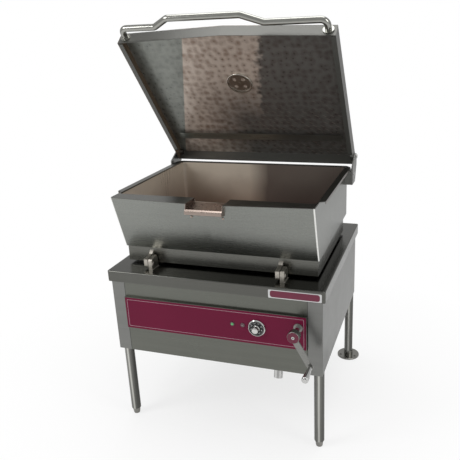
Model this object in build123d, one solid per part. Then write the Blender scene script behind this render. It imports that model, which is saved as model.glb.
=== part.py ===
from build123d import *
import math
import os

os.makedirs("parts", exist_ok=True)

# A tilting bratt pan: an open cabinet on four legs, a deep pan on a front hinge, a lid on the
# pan's rear hinge, and a hand crank that raises the pan through bevel gears and a screw jack.
# Lengths are millimetres. X runs to the right, Y from front to back, Z up from the floor.
# Y is counted from the deck's front edge until place() moves the origin to mid-depth.

# Sheet and fits
SHEET = 2.0
THIN_SHEET = 1.5
RUNNING = 0.05
FREE = 0.3
LOOSE = 1.5

# Cabinet
DECK_WIDTH = 914.0
DECK_DEPTH = 813.0
DECK_TOP = 718.0
DECK_FLANGE = 46.0
DECK_CORNER = 8.0
DECK_BEND = 4.0
OVERHANG = 9.0
SIDE_OVERHANG = 11.0
BODY_BOTTOM = 354.0
POST_WIDTH = 58.0
PANEL_BEND = 3.0
BOTTOM_PAN_DEPTH = 20.0
BOTTOM_PAN_LAP = 8.0

# Front panels
PANEL_DEPTH = 14.0
CONTROL_BOTTOM = 466.0
CONTROL_TOP = 608.0
CONTROL_PROUD = 12.0
LOWER_PANEL_TOP = 461.0
RAIL_HEIGHT = 40.0
RAIL_DEPTH = 24.0
FASCIA_THICK = 0.8
FASCIA_MARGIN = 2.0
FASCIA_CORNER = 3.0
NAME_PLATE_WIDTH = 206.0
NAME_PLATE_HEIGHT = 34.0
NAME_PLATE_THICK = 1.2
NAME_PLATE_MARGIN = 13.0
NAME_PLATE_DROP = 6.0

# Legs and feet
LEG_TUBE_RADIUS = 20.65
LEG_TUBE_WALL = 1.6
LEG_INSET = 22.0
LEG_FRONT_Y = 47.0
LEG_REAR_Y = 780.0
FOOT_HEIGHT = 30.0
FOOT_TOP_RADIUS = 18.0
FOOT_TIP_RADIUS = 13.0
STEM_RADIUS = 8.0
STEM_LENGTH = 45.0
INSERT_HEIGHT = 24.0
SOCKET_PLATE = 4.0
SOCKET_SPIGOT = 46.0
SOCKET_FRONT = 36.0
SOCKET_REAR = 22.0
FLANGE_RADIUS = 55.0
FLANGE_THICK = 8.0
FLANGE_HUB_RADIUS = 22.5
FLANGE_HOLES = 3
FLANGE_PITCH_RADIUS = 42.0
FLANGE_HOLE_RADIUS = 5.5

# Back panel
INLET_X = -250.0
INLET_Z = 430.0
INLET_RADIUS = 17.5
INLET_FLANGE_RADIUS = 26.0
LOUVRE_ROWS = 3
LOUVRE_COLUMNS = 6
LOUVRE_LENGTH = 80.0
LOUVRE_HEIGHT = 8.0
LOUVRE_PITCH = 28.0
SCREW_RADIUS = 2.5
SCREW_HEAD_RADIUS = 5.0
SCREW_HEAD_HEIGHT = 3.0

# Pan
PAN_SIDE_INSET = 49.0
PAN_WALL = 3.0
PAN_FLOOR_RISE = 82.0
PAN_FRONT = 80.0
PAN_FRONT_FOOT = 116.0
PAN_BACK = 705.0
PAN_CORNER = 20.0
PAN_FLOOR_BEND = 15.0
PAN_DEPTH = 228.0
RIM_THICK = 2.0
LIP_SIDE = 4.0
LIP_CORNER_Y = 22.0
LIP_APEX_Y = -11.0
HEM_SIDE = 26.0
HEM_FRONT = 119.0
HEM_BACK = 690.0
HEM_DROP = 10.0
JACKET_SIDE = 6.0
JACKET_BEND = 7.0
LIP_BEND = 9.0
JACKET_FOOT_Y = 98.0
JACKET_BACK = 713.0
JACKET_LAP = 3.0
HEATER_FRONT = 108.0
HEATER_BACK = 660.0
HEATER_CLEARANCE = 12.0
COOK_PLATE_THICK = 12.0
COOK_PLATE_MARGIN = 12.0

# Heating
ELEMENT_RADIUS = 4.0
ELEMENT_COUNT = 4
ELEMENT_SPAN = 110.0
ELEMENT_PITCH = 190.0
CLAMP_COUNT = 3
CLAMP_WIDTH = 25.0
CLAMP_THICK = 3.0
INSULATION_THICK = 28.0
BULB_RADIUS = 3.5
BULB_LENGTH = 120.0

# Pour spout
SPOUT_HALF_WIDTH = 75.0
SPOUT_WALL = 2.0
SPOUT_BACK_DEPTH = 16.0
SPOUT_FRONT_DEPTH = 27.0
SPOUT_NOSE_REACH = 10.0
SPOUT_NOSE_DEPTH = 20.0
SPOUT_NOSE_HEIGHT = 19.0
SPOUT_NOSE_BEND = 5.0
SPOUT_NOSE_CREST = 8.0
SPOUT_NOSE_ROUND = 4.0
SPOUT_FLOOR_END = 16.0
SPOUT_NOSE_LENGTH = 27.0
SPOUT_DEPTH = 44.0
SPOUT_FLOOR_THICK = 6.0
SPOUT_SCREW_RADIUS = 2.5
SPOUT_SCREW_LENGTH = 8.0
SPOUT_SCREW_X = 64.0
SPOUT_SCREW_DROP = 14.0

# Pan hinge
TILT_Y = 60.0
TILT_RISE = 24.0
TILT_RANGE = 75.0
HINGE_X = (-289.0, 271.0)
HINGE_GAP = 2.0
LUG_THICK = 17.0
LUG_NOSE = 13.0
LUG_EDGE = 1.2
PAN_LUG_TOP = 41.0
PAN_LUG_BACK = 34.0
PAN_LUG_BACK_TOP = 28.0
PAN_LUG_NOSE_TOP = 20.0
PAN_LUG_BOTTOM = 15.0
PAN_LUG_CHAMFER = (5.0, 7.0)
DECK_LUG_TOP = 25.0
DECK_LUG_NOSE_TOP = 20.0
DECK_LUG_CHAMFER = 6.0
DECK_LUG_LENGTH = 43.0
DECK_LUG_HEEL = (9.0, 17.0)
TILT_PIN_RADIUS = 8.0
TILT_PIN_HEAD_RADIUS = 12.0
TILT_PIN_HEAD = 5.0
PAD_RADIUS = 15.0
PAD_INSET = 28.0
PAD_Y = 630.0

# Lid
LID_SIDE_LAP = 8.0
LID_LENGTH = 745.0
LID_BOW = 20.0
LID_DEPTH = 55.0
LID_HEM = 20.0
LID_BACK = 762.0
LID_RISE = 56.0
LID_HINGE_Y = 750.0
LID_HINGE_DROP = 18.0
LID_OPEN = 50.1
LID_PIN_RADIUS = 6.0
LID_BRACKET_GAP = 2.0
LID_BRACKET_THICK = 6.0
LID_BRACKET_FRONT = 650.0
LID_BRACKET_DROP = 73.0
LID_BRACKET_WIDTH = 76.0
LID_EAR_RADIUS = 14.0
LID_BOLT_RISE = (20.0, 45.0)
LID_BOLT_RADIUS = 4.0
LID_BOSS_RADIUS = 14.0
LID_BOSS_LENGTH = 15.0
DRIP_SIDE_GAP = 45.0
DRIP_FROM_BACK = 112.0
DRIP_WIDTH = 40.0
DRIP_DEPTH = 12.0
VENT_X = -5.0
VENT_FROM_BACK = 468.0
VENT_RING_RADIUS = 55.0
VENT_RING_WALL = 5.0
VENT_RING_HEIGHT = 8.0
VENT_DISC_RADIUS = 46.0
VENT_SLOTS = 4
VENT_SLOT_RADIUS = 9.0
VENT_SLOT_PITCH = 28.0
VENT_PIN_RADIUS = 4.0
VENT_KNOB_RADIUS = 14.0
VENT_KNOB_HEIGHT = 16.0

# Lid handle
HANDLE_RADIUS = 12.7
HANDLE_WALL = 1.6
HANDLE_DEPTH = 27.0
HANDLE_INSET = 30.0
HANDLE_REACH = 48.0
HANDLE_RISE = 38.0
HANDLE_RISE_LEFT = (-265.0, -200.0)
HANDLE_RISE_RIGHT = (95.0, 180.0)
HANDLE_BEND = 24.0
HANDLE_COLLAR_RADIUS = 21.0
HANDLE_COLLAR_THICK = 4.0

# Crank
CRANK_INSET = 34.0
CRANK_Z = 562.0
CRANK_SHAFT_RADIUS = 10.0
CRANK_ARM_LENGTH = 131.0
CRANK_ARM_ANGLE = 29.0
CRANK_HUB_RADIUS = 23.5
CRANK_HUB_FRONT = -85.0
CRANK_HUB_LENGTH = 28.0
CRANK_ARM_THICK = 8.0
CRANK_ARM_WIDTH = 24.0
CRANK_SCREW_RADIUS = 6.0
GRIP_PIN_RADIUS = 5.0
GRIP_FRONT = -172.0
GRIP_RADIUS = 13.0
GRIP_NECK_RADIUS = 8.5
GRIP_CAP_RADIUS = 7.0
GRIP_CAP_THICK = 3.0

# Bevel gears and cross shaft
GEAR_RADIUS = 24.0
GEAR_TEETH = 16
GEAR_FACE = 11.0
TOOTH_TIP = 1.6
TOOTH_ROOT = 2.4
TOOTH_TIP_HALF = 1.1
TOOTH_ROOT_HALF = 2.2
GEAR_HUB_RADIUS = 15.0
GEAR_HUB_LENGTH = 8.0
CROSS_SHAFT_RADIUS = 8.0
BUSH_WALL = 4.0
BUSH_FLANGE = 4.0
BUSH_FLANGE_THICK = 3.0

# Screw jack
JACK_TO_CRANK = 106.0
JACK_Y = 150.0
PAN_LUG_Y = 190.0
PAN_LUG_DROP = 26.0
LUG_PIN_RADIUS = 6.0
YOKE_HALF_WIDTH = 44.0
YOKE_HALF_DEPTH = 30.0
YOKE_TOP = 40.0
YOKE_BOTTOM = -74.0
YOKE_WALL = 8.0
TRUNNION_RADIUS = 15.0
JACK_SCREW_RADIUS = 10.0
JACK_SCREW_TOP = 124.0
JACK_SCREW_BOTTOM = -236.0
NUT_RADIUS = 17.0
NUT_COLLAR_RADIUS = 22.0
JACK_TUBE_RADIUS = 18.0
JACK_TUBE_END = -292.0
EYE_THICK = 14.0
EYE_WALL = 7.0
EYE_SHANK_RADIUS = 15.0
EYE_SHANK_BOTTOM = 100.0
EYE_PLAY = 1.0
LUG_CHEEK = 8.0
BRACKET_PLATE = 6.0
SLOT_MARGIN = 12.0

# Controls
DIAL_TO_CRANK = 165.0
DIAL_Z = 540.0
DIAL_RADIUS = 31.0
BEZEL_RADIUS = 35.0
BEZEL_DEPTH = 7.0
DIAL_THICK = 5.0
KNOB_RADIUS = 13.0
KNOB_LENGTH = 24.0
DIAL_SHAFT_RADIUS = 3.0
LAMP_TO_CRANK = (266.0, 223.0)
LAMP_Z = 545.0
LAMP_RADIUS = 6.0
LAMP_BEZEL_RADIUS = 9.0
LAMP_BEZEL_DEPTH = 3.0
LENS_PROUD = 2.5
LENS_SEAT = 6.0
LAMP_BODY = 14.0
THERMOSTAT_HALF = 22.0
THERMOSTAT_DEPTH = 30.0
THERMOSTAT_SHAFT = 12.0
THERMOSTAT_TAB = (8.0, 10.0, 1.0)

# Electrical parts
CONTACTOR_X = -220.0
CONTACTOR_Y = 320.0
CONTACTOR_HALF_WIDTH = 30.0
CONTACTOR_HALF_DEPTH = 42.0
CONTACTOR_STEP = 16.0
CONTACTOR_TALL = 86.0
CONTACTOR_LOW = 50.0
POLE_PITCH = 18.0
POLE_SCREW = (4.0, 4.0)
TERMINAL_Y = 560.0
TERMINAL_WAYS = 6
TERMINAL_PITCH = 20.0
TERMINAL_HALF_DEPTH = 16.0
TERMINAL_TALL = 20.0
TERMINAL_WAY = (14.0, 24.0, 12.0)
TERMINAL_BORE = (3.5, 8.0)
LIMIT_X = -90.0
LIMIT_HALF_WIDTH = 28.0
LIMIT_HALF_DEPTH = 22.0
LIMIT_TALL = 34.0
LIMIT_BUTTON = (9.0, 12.0)

# Values worked out from the driving ones
BODY_FRONT = OVERHANG
BODY_BACK = DECK_DEPTH - OVERHANG
BODY_HALF = DECK_WIDTH / 2 - SIDE_OVERHANG
LEG_X = BODY_HALF - LEG_INSET
POST_INNER = BODY_HALF - POST_WIDTH
CRANK_X = POST_INNER - CRANK_INSET
JACK_X = CRANK_X - JACK_TO_CRANK
DIAL_X = CRANK_X - DIAL_TO_CRANK
LAMP_X = [CRANK_X - distance for distance in LAMP_TO_CRANK]
NAME_PLATE_X = (DECK_WIDTH - NAME_PLATE_WIDTH) / 2 - NAME_PLATE_MARGIN
HEATER_BOTTOM = DECK_TOP + HEATER_CLEARANCE
PAN_LUG_Z = HEATER_BOTTOM - PAN_LUG_DROP
PAN_FLOOR = DECK_TOP + PAN_FLOOR_RISE
RIM_TOP = PAN_FLOOR + PAN_DEPTH
JACKET_BOTTOM = PAN_FLOOR - JACKET_LAP
PAN_HALF_WIDTH = DECK_WIDTH / 2 - PAN_SIDE_INSET
LIP_HALF_WIDTH = PAN_HALF_WIDTH + LIP_SIDE
HEM_HALF_WIDTH = PAN_HALF_WIDTH + HEM_SIDE
JACKET_HALF_WIDTH = PAN_HALF_WIDTH + JACKET_SIDE
TILT_Z = DECK_TOP + TILT_RISE
PAD_X = PAN_HALF_WIDTH - PAD_INSET
SPOUT_FLOOR_BACK = RIM_TOP - SPOUT_BACK_DEPTH
SPOUT_FLOOR_FRONT = RIM_TOP - SPOUT_FRONT_DEPTH
SPOUT_NOSE_Y = LIP_APEX_Y - SPOUT_NOSE_REACH
SPOUT_NOSE_TOP = RIM_TOP - SPOUT_NOSE_DEPTH
SPOUT_NOSE_BOTTOM = SPOUT_NOSE_TOP - SPOUT_NOSE_HEIGHT
SPOUT_BASE = RIM_TOP - SPOUT_DEPTH
LID_HALF_WIDTH = HEM_HALF_WIDTH + LID_SIDE_LAP
LID_TOP = RIM_TOP + LID_RISE
LID_HINGE_Z = LID_TOP - LID_HINGE_DROP
LID_BRACKET_X = LID_HALF_WIDTH + LID_BRACKET_GAP
LID_BRACKET_BOTTOM = RIM_TOP - LID_BRACKET_DROP
LID_BOLT_Z = [LID_BRACKET_BOTTOM + rise for rise in LID_BOLT_RISE]
DRIP_HALF_LENGTH = LID_HALF_WIDTH - DRIP_SIDE_GAP
HANDLE_HALF_WIDTH = LID_HALF_WIDTH - HANDLE_INSET
DECK_UNDER = DECK_TOP - SHEET
PANEL_HALF = POST_INNER - LOOSE
PANEL_BACK = BODY_FRONT + PANEL_DEPTH
CONTROL_FRONT = BODY_FRONT - CONTROL_PROUD
FASCIA_FRONT = CONTROL_FRONT - FASCIA_THICK
FLANGE_EDGE_BACK = LEG_REAR_Y + FLANGE_RADIUS
GRIP_TIP = GRIP_FRONT - GRIP_CAP_THICK
FRAME_Y = (GRIP_TIP + FLANGE_EDGE_BACK) / 2
COOK_PLATE_BOTTOM = PAN_FLOOR - COOK_PLATE_THICK
ELEMENT_Z = COOK_PLATE_BOTTOM - ELEMENT_RADIUS
JACK_DY = PAN_LUG_Y - JACK_Y
JACK_DZ = PAN_LUG_Z - CRANK_Z
JACK_LENGTH = math.hypot(JACK_DY, JACK_DZ)
JACK_LEAN = math.degrees(math.atan2(JACK_DY, JACK_DZ))
JACK_FRAME = Pos(JACK_X, JACK_Y, CRANK_Z) * Rot(-JACK_LEAN, 0, 0)
DECK_SLOT_HALF = EYE_THICK / 2 + LUG_CHEEK + SLOT_MARGIN
LID_TO_ORIGIN = Pos(0, -LID_HINGE_Y, -LID_HINGE_Z)
LID_CLOSED_TO_OPEN = Pos(0, LID_HINGE_Y, LID_HINGE_Z) * Rot(-LID_OPEN, 0, 0) * LID_TO_ORIGIN


def place(name, *shapes):
    """Write the solids of one node, with the origin moved to the middle of the depth."""
    solids = [solid for shape in shapes for solid in shape.solids()]
    whole = Compound(solids) if len(solids) > 1 else solids[0]
    export_step(Pos(0, -FRAME_Y, 0) * whole, f"parts/{name}.step")


def block(x0, x1, y0, y1, z0, z1):
    """A box between two values on each axis."""
    return Pos((x0 + x1) / 2, (y0 + y1) / 2, (z0 + z1) / 2) * Box(x1 - x0, y1 - y0, z1 - z0)


def bar(axis, radius, start, end, x=0.0, y=0.0, z=0.0):
    """A round bar along one axis, between two values on that axis."""
    middle = (start + end) / 2
    stock = Cylinder(radius, end - start)
    if axis == "X":
        return Pos(middle, y, z) * Rot(0, 90, 0) * stock
    if axis == "Y":
        return Pos(x, middle, z) * Rot(90, 0, 0) * stock
    return Pos(x, y, middle) * stock


def side_plate(points, x0, x1):
    """A plate whose outline is given as (y, z) points, from one x to another."""
    edge = Polyline(*[Vector(x0, y, z) for y, z in points], close=True)
    return extrude(make_face(edge), amount=x1 - x0, dir=(1, 0, 0))


def flat_plate(points, z0, z1):
    """A plate whose outline is given as (x, y) points, from one height to another."""
    edge = Polyline(*[Vector(x, y, z0) for x, y in points], close=True)
    return extrude(make_face(edge), amount=z1 - z0, dir=(0, 0, 1))


def both_sides(shape):
    """A shape and its mirror image across the middle of the width."""
    return [shape, mirror(shape, about=Plane.YZ)]


def tray(x0, x1, y0, y1, z0, z1, wall, open_side, corner=0.0, bend=0.0):
    """A folded sheet tray that is open on one side, such as "+Z"."""
    axis = {"X": Axis.X, "Y": Axis.Y, "Z": Axis.Z}[open_side[1]]
    low = [x0 + wall, y0 + wall, z0 + wall]
    high = [x1 - wall, y1 - wall, z1 - wall]
    index = "XYZ".index(open_side[1])
    if open_side[0] == "+":
        high[index] = (x1, y1, z1)[index]
    else:
        low[index] = (x0, y0, z0)[index]
    outer = block(x0, x1, y0, y1, z0, z1)
    inner = block(low[0], high[0], low[1], high[1], low[2], high[2])
    far_face = 0 if open_side[0] == "+" else -1
    if corner:
        outer = fillet(outer.edges().filter_by(axis), corner)
        inner = fillet(inner.edges().filter_by(axis), corner - wall)
    if bend:
        outer = fillet(outer.faces().sort_by(axis)[far_face].edges(), bend)
        inner = fillet(inner.faces().sort_by(axis)[far_face].edges(), bend - wall)
    return outer - inner


def flanged_bush(axis, bore, wall, start, end, flange_at, **centre):
    """A plain bearing bush with a flange before its start or after its end."""
    body = bar(axis, bore + wall, start, end, **centre)
    if flange_at < start:
        flange = bar(axis, bore + wall + BUSH_FLANGE, flange_at, start, **centre)
    else:
        flange = bar(axis, bore + wall + BUSH_FLANGE, end, flange_at, **centre)
    hole = bar(axis, bore, min(start, flange_at), max(end, flange_at), **centre)
    return body + flange - hole


def domed_screw(axis, surface, shank_end, radius, head_radius, head_height, **centre):
    """A screw whose head sits on a surface and whose shank runs inward from it."""
    outward = -1 if shank_end > surface else 1
    head_end = surface + outward * head_height
    head = bar(axis, head_radius, min(surface, head_end), max(surface, head_end), **centre)
    rim = head.faces().sort_by({"X": Axis.X, "Y": Axis.Y, "Z": Axis.Z}[axis])[0 if outward < 0 else -1]
    head = fillet(rim.edges(), min(head_radius, head_height) * 0.6)
    shank = bar(axis, radius, min(surface, shank_end), max(surface, shank_end), **centre)
    return head + shank


# Deck: one folded sheet with rounded corners and a turned-down flange all round
deck_slot = block(
    JACK_X - DECK_SLOT_HALF,
    JACK_X + DECK_SLOT_HALF,
    JACK_Y - 2 * SLOT_MARGIN,
    PAN_LUG_Y + 3 * SLOT_MARGIN,
    HEATER_BOTTOM - 4 * SLOT_MARGIN,
    HEATER_BOTTOM,
)
deck = tray(
    -DECK_WIDTH / 2,
    DECK_WIDTH / 2,
    0,
    DECK_DEPTH,
    DECK_TOP - DECK_FLANGE,
    DECK_TOP,
    SHEET,
    "-Z",
    DECK_CORNER,
    DECK_BEND,
)
place("deck", deck - deck_slot)

# Side panels: folded sheets whose returns form the corner posts, the floor lips and the top lips
side_panel = tray(
    POST_INNER, BODY_HALF, BODY_FRONT, BODY_BACK, BODY_BOTTOM, DECK_UNDER, SHEET, "-X", 0, PANEL_BEND
)
spigot_radius = LEG_TUBE_RADIUS - LEG_TUBE_WALL - FREE / 2
for leg_y in (LEG_FRONT_Y, LEG_REAR_Y):
    side_panel -= bar(
        "Z", spigot_radius + FREE / 2, BODY_BOTTOM - 1, BODY_BOTTOM + SHEET + 1, x=LEG_X, y=leg_y
    )
place("side_panels", *both_sides(side_panel))

# Front panels: shallow trays between the posts, fixed to two rails behind them
rail_front = PANEL_BACK
rail_half = BODY_HALF - SHEET


def front_rail(middle):
    """A channel rail across the inside of the front, open to the back."""
    return tray(
        -rail_half,
        rail_half,
        rail_front,
        rail_front + RAIL_DEPTH,
        middle - RAIL_HEIGHT / 2,
        middle + RAIL_HEIGHT / 2,
        SHEET,
        "+Y",
    )


lower_rail_z = (LOWER_PANEL_TOP + CONTROL_BOTTOM) / 2
place("front_rails", front_rail(CONTROL_TOP), front_rail(lower_rail_z))
upper_front_panel = tray(
    -PANEL_HALF, PANEL_HALF, BODY_FRONT, PANEL_BACK, CONTROL_TOP, DECK_UNDER, THIN_SHEET, "+Y"
)
lower_front_panel = tray(
    -PANEL_HALF, PANEL_HALF, BODY_FRONT, PANEL_BACK, BODY_BOTTOM, LOWER_PANEL_TOP, THIN_SHEET, "+Y"
)
place("front_panels", upper_front_panel, lower_front_panel)

crank_bush_radius = CRANK_SHAFT_RADIUS + RUNNING + BUSH_WALL
panel_holes = bar("Y", crank_bush_radius, FASCIA_FRONT - 1, PANEL_BACK, x=CRANK_X, z=CRANK_Z)
panel_holes += bar("Y", DIAL_SHAFT_RADIUS + LOOSE, FASCIA_FRONT - 1, PANEL_BACK, x=DIAL_X, z=DIAL_Z)
for lamp_x in LAMP_X:
    panel_holes += bar("Y", LAMP_RADIUS + RUNNING, FASCIA_FRONT - 1, PANEL_BACK, x=lamp_x, z=LAMP_Z)
control_panel = tray(
    -PANEL_HALF, PANEL_HALF, CONTROL_FRONT, PANEL_BACK, CONTROL_BOTTOM, CONTROL_TOP, THIN_SHEET, "+Y"
)
place("control_panel", control_panel - panel_holes)
fascia = block(
    -PANEL_HALF + FASCIA_MARGIN,
    PANEL_HALF - FASCIA_MARGIN,
    FASCIA_FRONT,
    CONTROL_FRONT,
    CONTROL_BOTTOM + FASCIA_MARGIN,
    CONTROL_TOP - FASCIA_MARGIN,
)
fascia = fillet(fascia.edges().filter_by(Axis.Y), FASCIA_CORNER)
place("control_fascia", fascia - panel_holes)

name_plate_z = DECK_TOP - DECK_BEND - NAME_PLATE_HEIGHT / 2 - NAME_PLATE_DROP
name_plate = block(
    NAME_PLATE_X - NAME_PLATE_WIDTH / 2,
    NAME_PLATE_X + NAME_PLATE_WIDTH / 2,
    -NAME_PLATE_THICK,
    0,
    name_plate_z - NAME_PLATE_HEIGHT / 2,
    name_plate_z + NAME_PLATE_HEIGHT / 2,
)
place("name_plate", fillet(name_plate.edges().filter_by(Axis.Y), 4))

# Bottom pan: a shallow tray on the side panels' lips, with a slot for the swinging jack tube
pan_half = POST_INNER + BOTTOM_PAN_LAP
bottom_pan = tray(
    -pan_half,
    pan_half,
    PANEL_BACK,
    BODY_BACK - SHEET,
    BODY_BOTTOM + SHEET,
    BODY_BOTTOM + SHEET + BOTTOM_PAN_DEPTH,
    THIN_SHEET,
    "+Z",
)
tube_slot_half = JACK_TUBE_RADIUS + SLOT_MARGIN / 2
tube_drop = CRANK_Z - BODY_BOTTOM
tube_front = JACK_Y - tube_drop * math.tan(math.radians(JACK_LEAN)) - JACK_TUBE_RADIUS - SLOT_MARGIN
tube_back = JACK_Y + tube_drop * math.tan(math.radians(JACK_LEAN / 2)) + JACK_TUBE_RADIUS + SLOT_MARGIN
bottom_pan -= block(
    JACK_X - tube_slot_half,
    JACK_X + tube_slot_half,
    tube_front,
    tube_back,
    BODY_BOTTOM,
    BODY_BOTTOM + 2 * SHEET + 1,
)
place("bottom_pan", bottom_pan)

# Back panel: a louvred sheet screwed over the rear posts, with the supply inlet
back_half = POST_INNER + POST_WIDTH / 3
back_panel = block(
    -back_half, back_half, BODY_BACK, BODY_BACK + THIN_SHEET, BODY_BOTTOM + 4, DECK_UNDER - LOOSE
)
louvre_step = 2 * back_half / (LOUVRE_COLUMNS + 1)
for row in range(LOUVRE_ROWS):
    for column in range(LOUVRE_COLUMNS):
        louvre_x = -back_half + louvre_step * (column + 1)
        louvre_z = CONTROL_TOP - LOUVRE_PITCH * row
        slot = Pos(louvre_x, BODY_BACK, louvre_z) * Rot(90, 0, 0) * extrude(
            SlotOverall(LOUVRE_LENGTH, LOUVRE_HEIGHT), amount=4 * THIN_SHEET, both=True
        )
        back_panel -= slot
back_panel -= bar("Y", INLET_RADIUS + BUSH_WALL, BODY_BACK - 1, BODY_BACK + 3, x=INLET_X, z=INLET_Z)
screw_x = back_half - 8
back_screws = []
for x in (-screw_x, screw_x):
    for z in (BODY_BOTTOM + 20, (BODY_BOTTOM + CONTROL_TOP) / 2, CONTROL_TOP):
        place_y = BODY_BACK + THIN_SHEET
        back_panel -= bar("Y", SCREW_RADIUS, BODY_BACK - 1, place_y + 1, x=x, z=z)
        back_screws.append(
            domed_screw(
                "Y", place_y, BODY_BACK, SCREW_RADIUS, SCREW_HEAD_RADIUS, SCREW_HEAD_HEIGHT, x=x, z=z
            )
        )
place("back_panel", back_panel)
place("back_panel_screws", *back_screws)
inlet = bar("Y", INLET_FLANGE_RADIUS, BODY_BACK + THIN_SHEET, BODY_BACK + THIN_SHEET + 4, x=INLET_X, z=INLET_Z)
inlet += bar("Y", INLET_RADIUS + BUSH_WALL, BODY_BACK - 22, BODY_BACK + 18, x=INLET_X, z=INLET_Z)
inlet -= bar("Y", INLET_RADIUS, BODY_BACK - 22, BODY_BACK + 18, x=INLET_X, z=INLET_Z)
place("supply_inlet_bush", inlet)

# Legs: tubes with a plugged foot end, each on a socket inside the cabinet corner
legs = []
inserts = []
sockets = []
for leg_x in (-LEG_X, LEG_X):
    for leg_y in (LEG_FRONT_Y, LEG_REAR_Y):
        at = {"x": leg_x, "y": leg_y}
        tube = bar("Z", LEG_TUBE_RADIUS, FOOT_HEIGHT, BODY_BOTTOM, **at)
        legs.append(tube - bar("Z", LEG_TUBE_RADIUS - LEG_TUBE_WALL, FOOT_HEIGHT, BODY_BOTTOM, **at))
        plug = bar("Z", LEG_TUBE_RADIUS - LEG_TUBE_WALL, FOOT_HEIGHT, FOOT_HEIGHT + INSERT_HEIGHT, **at)
        inserts.append(plug - bar("Z", STEM_RADIUS + RUNNING, FOOT_HEIGHT, FOOT_HEIGHT + INSERT_HEIGHT, **at))
        inner_face = math.copysign(BODY_HALF - PANEL_BEND, leg_x)
        far_face = math.copysign(2 * LEG_X - BODY_HALF - SOCKET_PLATE, leg_x)
        socket = block(
            min(inner_face, far_face),
            max(inner_face, far_face),
            leg_y - SOCKET_FRONT,
            leg_y + SOCKET_REAR,
            BODY_BOTTOM + SHEET,
            BODY_BOTTOM + SHEET + SOCKET_PLATE,
        )
        socket += bar("Z", spigot_radius, BODY_BOTTOM - SOCKET_SPIGOT, BODY_BOTTOM + SHEET, **at)
        sockets.append(socket - bar("Z", spigot_radius - 4, BODY_BOTTOM - SOCKET_SPIGOT, DECK_UNDER, **at))
place("legs", *legs, *inserts, *sockets)


def bullet_foot(x):
    """A screw-in levelling foot with a tapered round body."""
    body = Pos(x, LEG_FRONT_Y, FOOT_HEIGHT / 2) * Cone(FOOT_TIP_RADIUS, FOOT_TOP_RADIUS, FOOT_HEIGHT)
    body = fillet(body.edges().sort_by(Axis.Z)[0], 4)
    return body + bar("Z", STEM_RADIUS, FOOT_HEIGHT, FOOT_HEIGHT + STEM_LENGTH, x=x, y=LEG_FRONT_Y)


place("left_front_foot", bullet_foot(-LEG_X))
place("right_front_foot", bullet_foot(LEG_X))


def flanged_foot(x):
    """A screw-in foot with a round plate that is bolted to the floor."""
    foot = bar("Z", FLANGE_RADIUS, 0, FLANGE_THICK, x=x, y=LEG_REAR_Y)
    foot = fillet(foot.edges().sort_by(Axis.Z)[-1], 2)
    foot += bar("Z", FLANGE_HUB_RADIUS, FLANGE_THICK, FOOT_HEIGHT, x=x, y=LEG_REAR_Y)
    foot += bar("Z", STEM_RADIUS, FOOT_HEIGHT, FOOT_HEIGHT + STEM_LENGTH, x=x, y=LEG_REAR_Y)
    for hole in range(FLANGE_HOLES):
        angle = math.radians(90 + hole * 360 / FLANGE_HOLES)
        hole_x = x + FLANGE_PITCH_RADIUS * math.cos(angle)
        hole_y = LEG_REAR_Y + FLANGE_PITCH_RADIUS * math.sin(angle)
        foot -= bar("Z", FLANGE_HOLE_RADIUS, 0, FLANGE_THICK, x=hole_x, y=hole_y)
    return foot


place("flanged_feet", flanged_foot(-LEG_X), flanged_foot(LEG_X))

# Controls on the front panel, with their bodies behind it
bezel = bar("Y", BEZEL_RADIUS, FASCIA_FRONT - BEZEL_DEPTH, FASCIA_FRONT, x=DIAL_X, z=DIAL_Z)
bezel = chamfer(bezel.faces().sort_by(Axis.Y)[0].edges(), 2)
bezel -= bar("Y", DIAL_RADIUS + FREE, FASCIA_FRONT - BEZEL_DEPTH, FASCIA_FRONT, x=DIAL_X, z=DIAL_Z)
place("thermostat_bezel", bezel)

dial_back = FASCIA_FRONT - LOOSE / 2
dial_front = dial_back - DIAL_THICK
knob_front = dial_front - KNOB_LENGTH
thermostat_front = CONTROL_FRONT + THIN_SHEET
thermostat_back = thermostat_front + THERMOSTAT_DEPTH
shaft_end = thermostat_front + THERMOSTAT_SHAFT
dial = bar("Y", DIAL_RADIUS, dial_front, dial_back, x=DIAL_X, z=DIAL_Z)
dial = chamfer(dial.faces().sort_by(Axis.Y)[0].edges(), 1)
knob = bar("Y", KNOB_RADIUS, knob_front, dial_front, x=DIAL_X, z=DIAL_Z)
knob = fillet(knob.faces().sort_by(Axis.Y)[0].edges(), 3)
dial_shaft = bar("Y", DIAL_SHAFT_RADIUS, dial_back, shaft_end, x=DIAL_X, z=DIAL_Z)
place("thermostat_dial", dial + dial_shaft)
place("thermostat_knob", knob)

thermostat = block(
    DIAL_X - THERMOSTAT_HALF,
    DIAL_X + THERMOSTAT_HALF,
    thermostat_front,
    thermostat_back,
    DIAL_Z - THERMOSTAT_HALF,
    DIAL_Z + THERMOSTAT_HALF,
)
thermostat = fillet(thermostat.edges().filter_by(Axis.Y), 3)
tab_width, tab_reach, tab_thick = THERMOSTAT_TAB
tab_x = DIAL_X - THERMOSTAT_HALF / 2
for tab_z in (DIAL_Z - THERMOSTAT_HALF / 2, DIAL_Z + THERMOSTAT_HALF / 2):
    tab_bottom = tab_z - tab_thick / 2
    thermostat += block(
        tab_x, tab_x + tab_width, thermostat_back, thermostat_back + tab_reach, tab_bottom, tab_bottom + tab_thick
    )
shaft_bore = bar("Y", DIAL_SHAFT_RADIUS + RUNNING, thermostat_front, shaft_end + 1, x=DIAL_X, z=DIAL_Z)
place("thermostat_body", thermostat - shaft_bore)

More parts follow.
